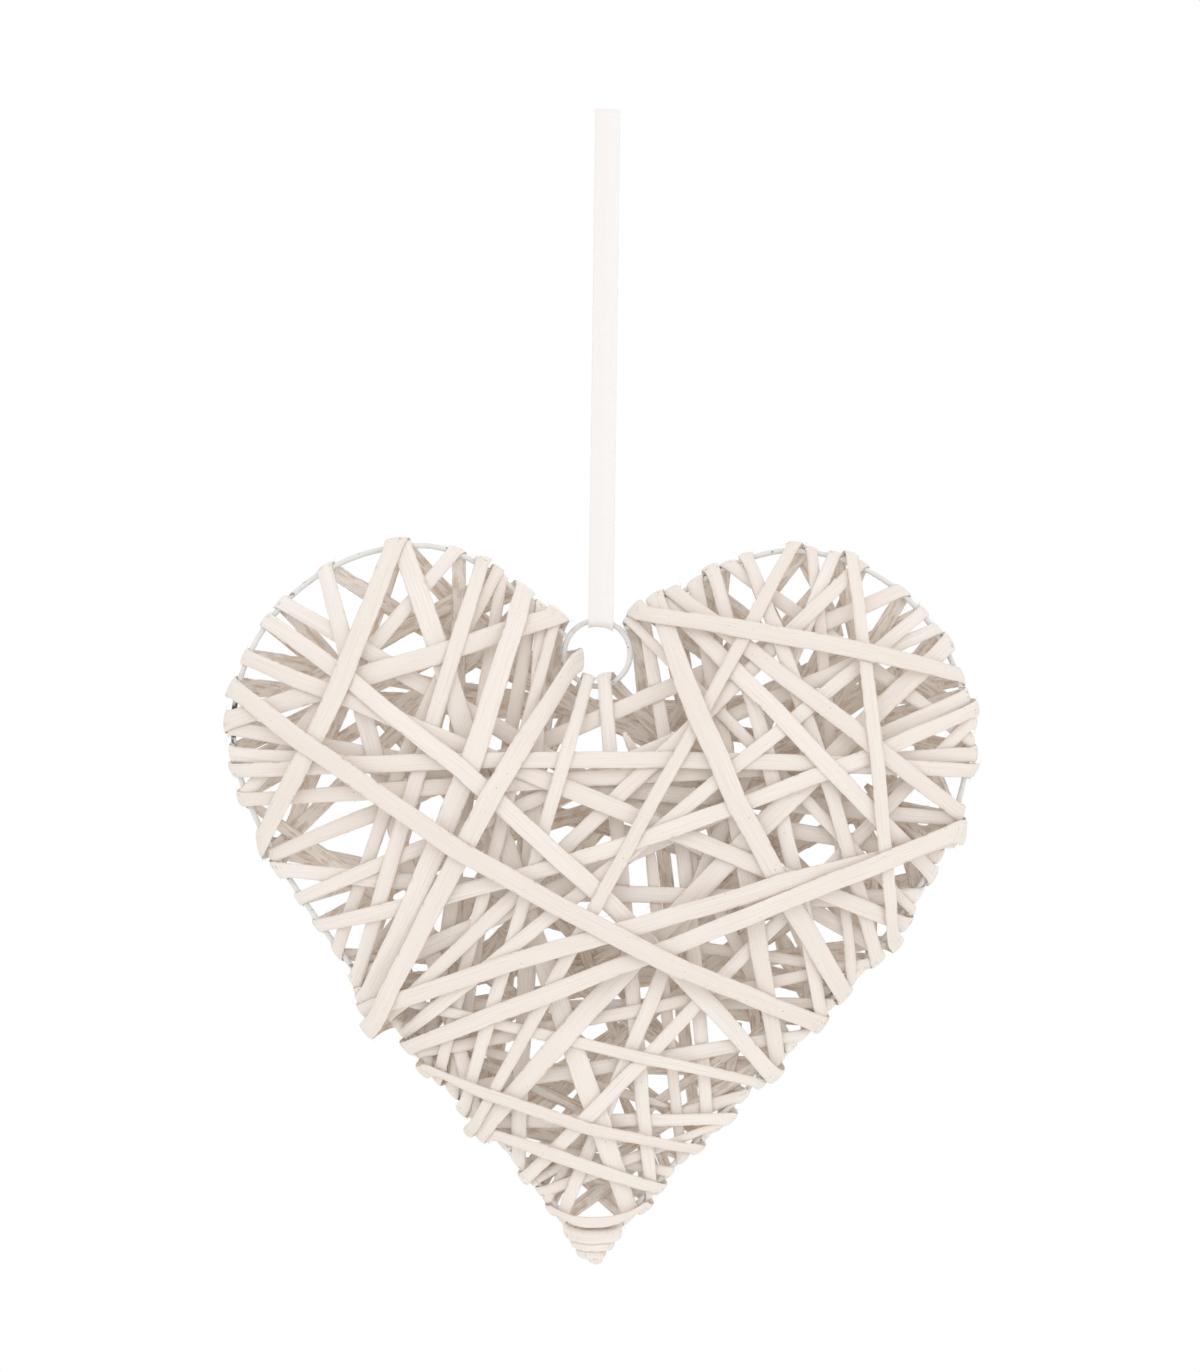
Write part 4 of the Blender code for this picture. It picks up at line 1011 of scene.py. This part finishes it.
def ribbon_loop(finish):
    """The ribbon, a thin closed band with rounded woven edges, and its whole length."""
    path = ribbon_path()
    along = lengths_along(np.vstack([path, path[:1]])[:, :2])
    angles = np.linspace(0.0, 2 * pi, RIBBON_SIDES, endpoint=False)
    across, over = (
        np.sign(turned) * np.abs(turned) ** power
        for turned, power in zip((np.cos(angles), np.sin(angles)), RIBBON_ROUNDING)
    )
    over = over * (1 + HEM_SWELL * np.abs(across) ** HEM_POWER)
    verts, faces, threads = [], [], []
    rows, sides = len(path), RIBBON_SIDES
    lowest = ring_arch(RIBBON_WIDTH / 2 + abs(RING_ASIDE))
    foot = path[:, 1].min()
    for k, (y, z, ny, nz) in enumerate(path):
        # a woven edge is never quite straight
        swing = 1 + sum(much * sin(along[k] * often + at) for much, often, at in RIBBON_WAVES)
        # the lower fold follows the arch of the ring that hangs in it
        near = max(1 - (z - foot) / RIBBON_CUP_REACH, 0.0)
        for a, o in zip(across, over):
            x = a * swing * RIBBON_WIDTH / 2
            level = o * RIBBON_THICKNESS / 2 * RIBBON_FILL
            cup = max(ring_arch(x - RING_ASIDE) - lowest, 0.0)
            verts.append((x, y + ny * level, z + nz * level + cup * near))
    for k in range(rows):
        here, ahead = along[k], along[k + 1]
        for j in range(sides):
            i, n = (j + 1) % sides, (k + 1) % rows
            faces.append((k * sides + j, k * sides + i, n * sides + i, n * sides + j))
            left, right = across[j] * RIBBON_WIDTH / 2, across[i] * RIBBON_WIDTH / 2
            threads += [(left, here), (right, here), (right, ahead), (left, ahead)]
    mesh = bpy.data.meshes.new("ribbon_loop")
    mesh.from_pydata(verts, [], faces)
    mesh.uv_layers.new(name="woven").data.foreach_set("uv", np.array(threads).ravel())
    mesh.polygons.foreach_set("use_smooth", [True] * len(faces))
    mesh.materials.append(finish)
    work = bmesh.new()
    work.from_mesh(mesh)
    bmesh.ops.recalc_face_normals(work, faces=work.faces[:])
    work.to_mesh(mesh)
    work.free()
    return new_object("ribbon_loop", mesh), along[-1]


def keep(piece, node=None):
    """The piece belongs to the model's one body, and may stand for one of its solids."""
    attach(piece, "root")
    if node:
        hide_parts(node)


def split_willow(name, rows, tone, seed, sizes=None):
    """A strip of split willow grown along its rows across, with its own tone and seed."""
    near = close_rows(rows)
    return grown(name, rows_mesh(name, near), strip, {
        "Row count": len(near[0]), "Finish": willow, "Tone": tone, "Seed": seed, **(sizes or {}),
    })


def set_light():
    """White sky that lights less than it shows, and soft boxes that look at the heart."""
    scene = bpy.context.scene
    scene.view_settings.view_transform = "Standard"
    scene.world = bpy.data.worlds.new("studio")
    scene.world.use_nodes = True
    tree = scene.world.node_tree
    seen = add(tree, "ShaderNodeLightPath").outputs["Is Camera Ray"]
    strength = add(tree, RANGE, seen, None, None, SKY_LIGHT, SKY_SEEN)
    feed(tree, (1.0, 1.0, 1.0, 1.0), tree.nodes["Background"].inputs[0])
    feed(tree, strength, tree.nodes["Background"].inputs[1])
    for name, place, power in SOFT_BOXES:
        lamp = bpy.data.lights.new(name, "AREA")
        lamp.shape = "SQUARE"
        lamp.size = SOFT_BOX_SIZE
        lamp.energy = power
        made = new_object(name, lamp)
        made.location = place
        look = Vector(SOFT_BOX_AIM) - Vector(place)
        made.rotation_euler = look.to_track_quat("-Z", "Y").to_euler()


# Matt white board, which throws light back on the heart from below
def lay_floor():
    ground, _ = new_material("matt_white_board")
    looks = {"Base Color": paint("#FBFBFA"), "Roughness": 0.9, "Specular IOR Level": 0.1}
    mesh = bpy.data.meshes.new("floor")
    sides = ((-1, -1), (1, -1), (1, 1), (-1, 1))
    corners = [(x * FLOOR_REACH, y * FLOOR_REACH, FLOOR_LEVEL) for x, y in sides]
    mesh.from_pydata(corners, [], [(0, 1, 2, 3)])
    mesh.materials.append(finished(ground, looks))
    floor = new_object("floor", mesh)


def set_camera():
    """A camera square to the wire's plane, level but for a slight lean to one side."""
    camera = bpy.data.cameras.new("camera")
    camera.sensor_width = FILM
    camera.lens = FILM * EYE_DISTANCE / FRAME_HEIGHT
    camera.clip_end = SIGHT
    eye = new_object("camera", camera)
    right = Vector((1.0, 0.0, LEAN)).normalized()
    back = Vector((0.0, -1.0, 0.0))
    turn = Matrix((right, back.cross(right), back)).transposed().to_4x4()
    eye.matrix_world = Matrix.Translation((0.0, -EYE_DISTANCE, EYE_HEIGHT)) @ turn
    bpy.context.scene.camera = eye


set_light()
lay_floor()
set_camera()
willow = painted_willow()
enamel = enamelled_wire()
cotton = cotton_ribbon()

# the heart wire in its plane, and how far along it from the tip each point lies
ring_centre = np.array([RING_ASIDE, -RIBBON_DROP - RING_DIAMETER / 2])
lobe_top = ring_centre[1] + LOBES_OVER_RING
wire_points = heart_wire_path()
wire_line = np.array(wire_points)[:, [0, 2]]
wire_along = lengths_along(wire_line)
wire_along -= wire_along[np.argmin(wire_line[:, 1])]

# the long strips, each in its solid's place, then the thin ones under them
strip = strip_tree()
draws = np.random.default_rng(TONE_SEED)
nodes = ["willow_strip_%02d" % number for number in range(1, STRIPS + 1)]
solids = join_solids(nodes)
for number, node in enumerate(nodes, 1):
    rows = solid_rows(node)
    if number == SLACK_STRIP:
        rows = hang_slack(rows)
    piece = split_willow("strip_%02d" % number, rows, float(draws.uniform()), number)
    keep(piece, node)

laid = {1: [], -1: []}
for number, (face, stops) in enumerate(FILLERS, 1):
    rows = filler_rows(face, stops, laid)
    tone = float(draws.uniform())
    piece = split_willow("inner_strip_%02d" % number, rows, tone, FILL_SEED + number)
    keep(piece)

winding = split_willow("tip_winding", winding_rows(), 0.3, WINDING_SEED, TIP_SIZES)
keep(winding, "tip_binding")
cap = split_willow("tip_cap", cap_rows(), 0.5, CAP_SEED, TIP_SIZES)
keep(cap)

wire = wire_tree()
rusted = path_mesh("bent_wire", wire_points, rusts=True)
heart = grown("bent_wire", rusted, wire, {"Finish": enamel})
keep(heart, "heart_wire")
ring = grown("wire_ring", path_mesh("wire_ring", ring_path()), wire, {"Finish": enamel})
keep(ring, "hanging_ring")

ribbon, ribbon_length = ribbon_loop(cotton)
keep(ribbon, "hanging_ribbon")
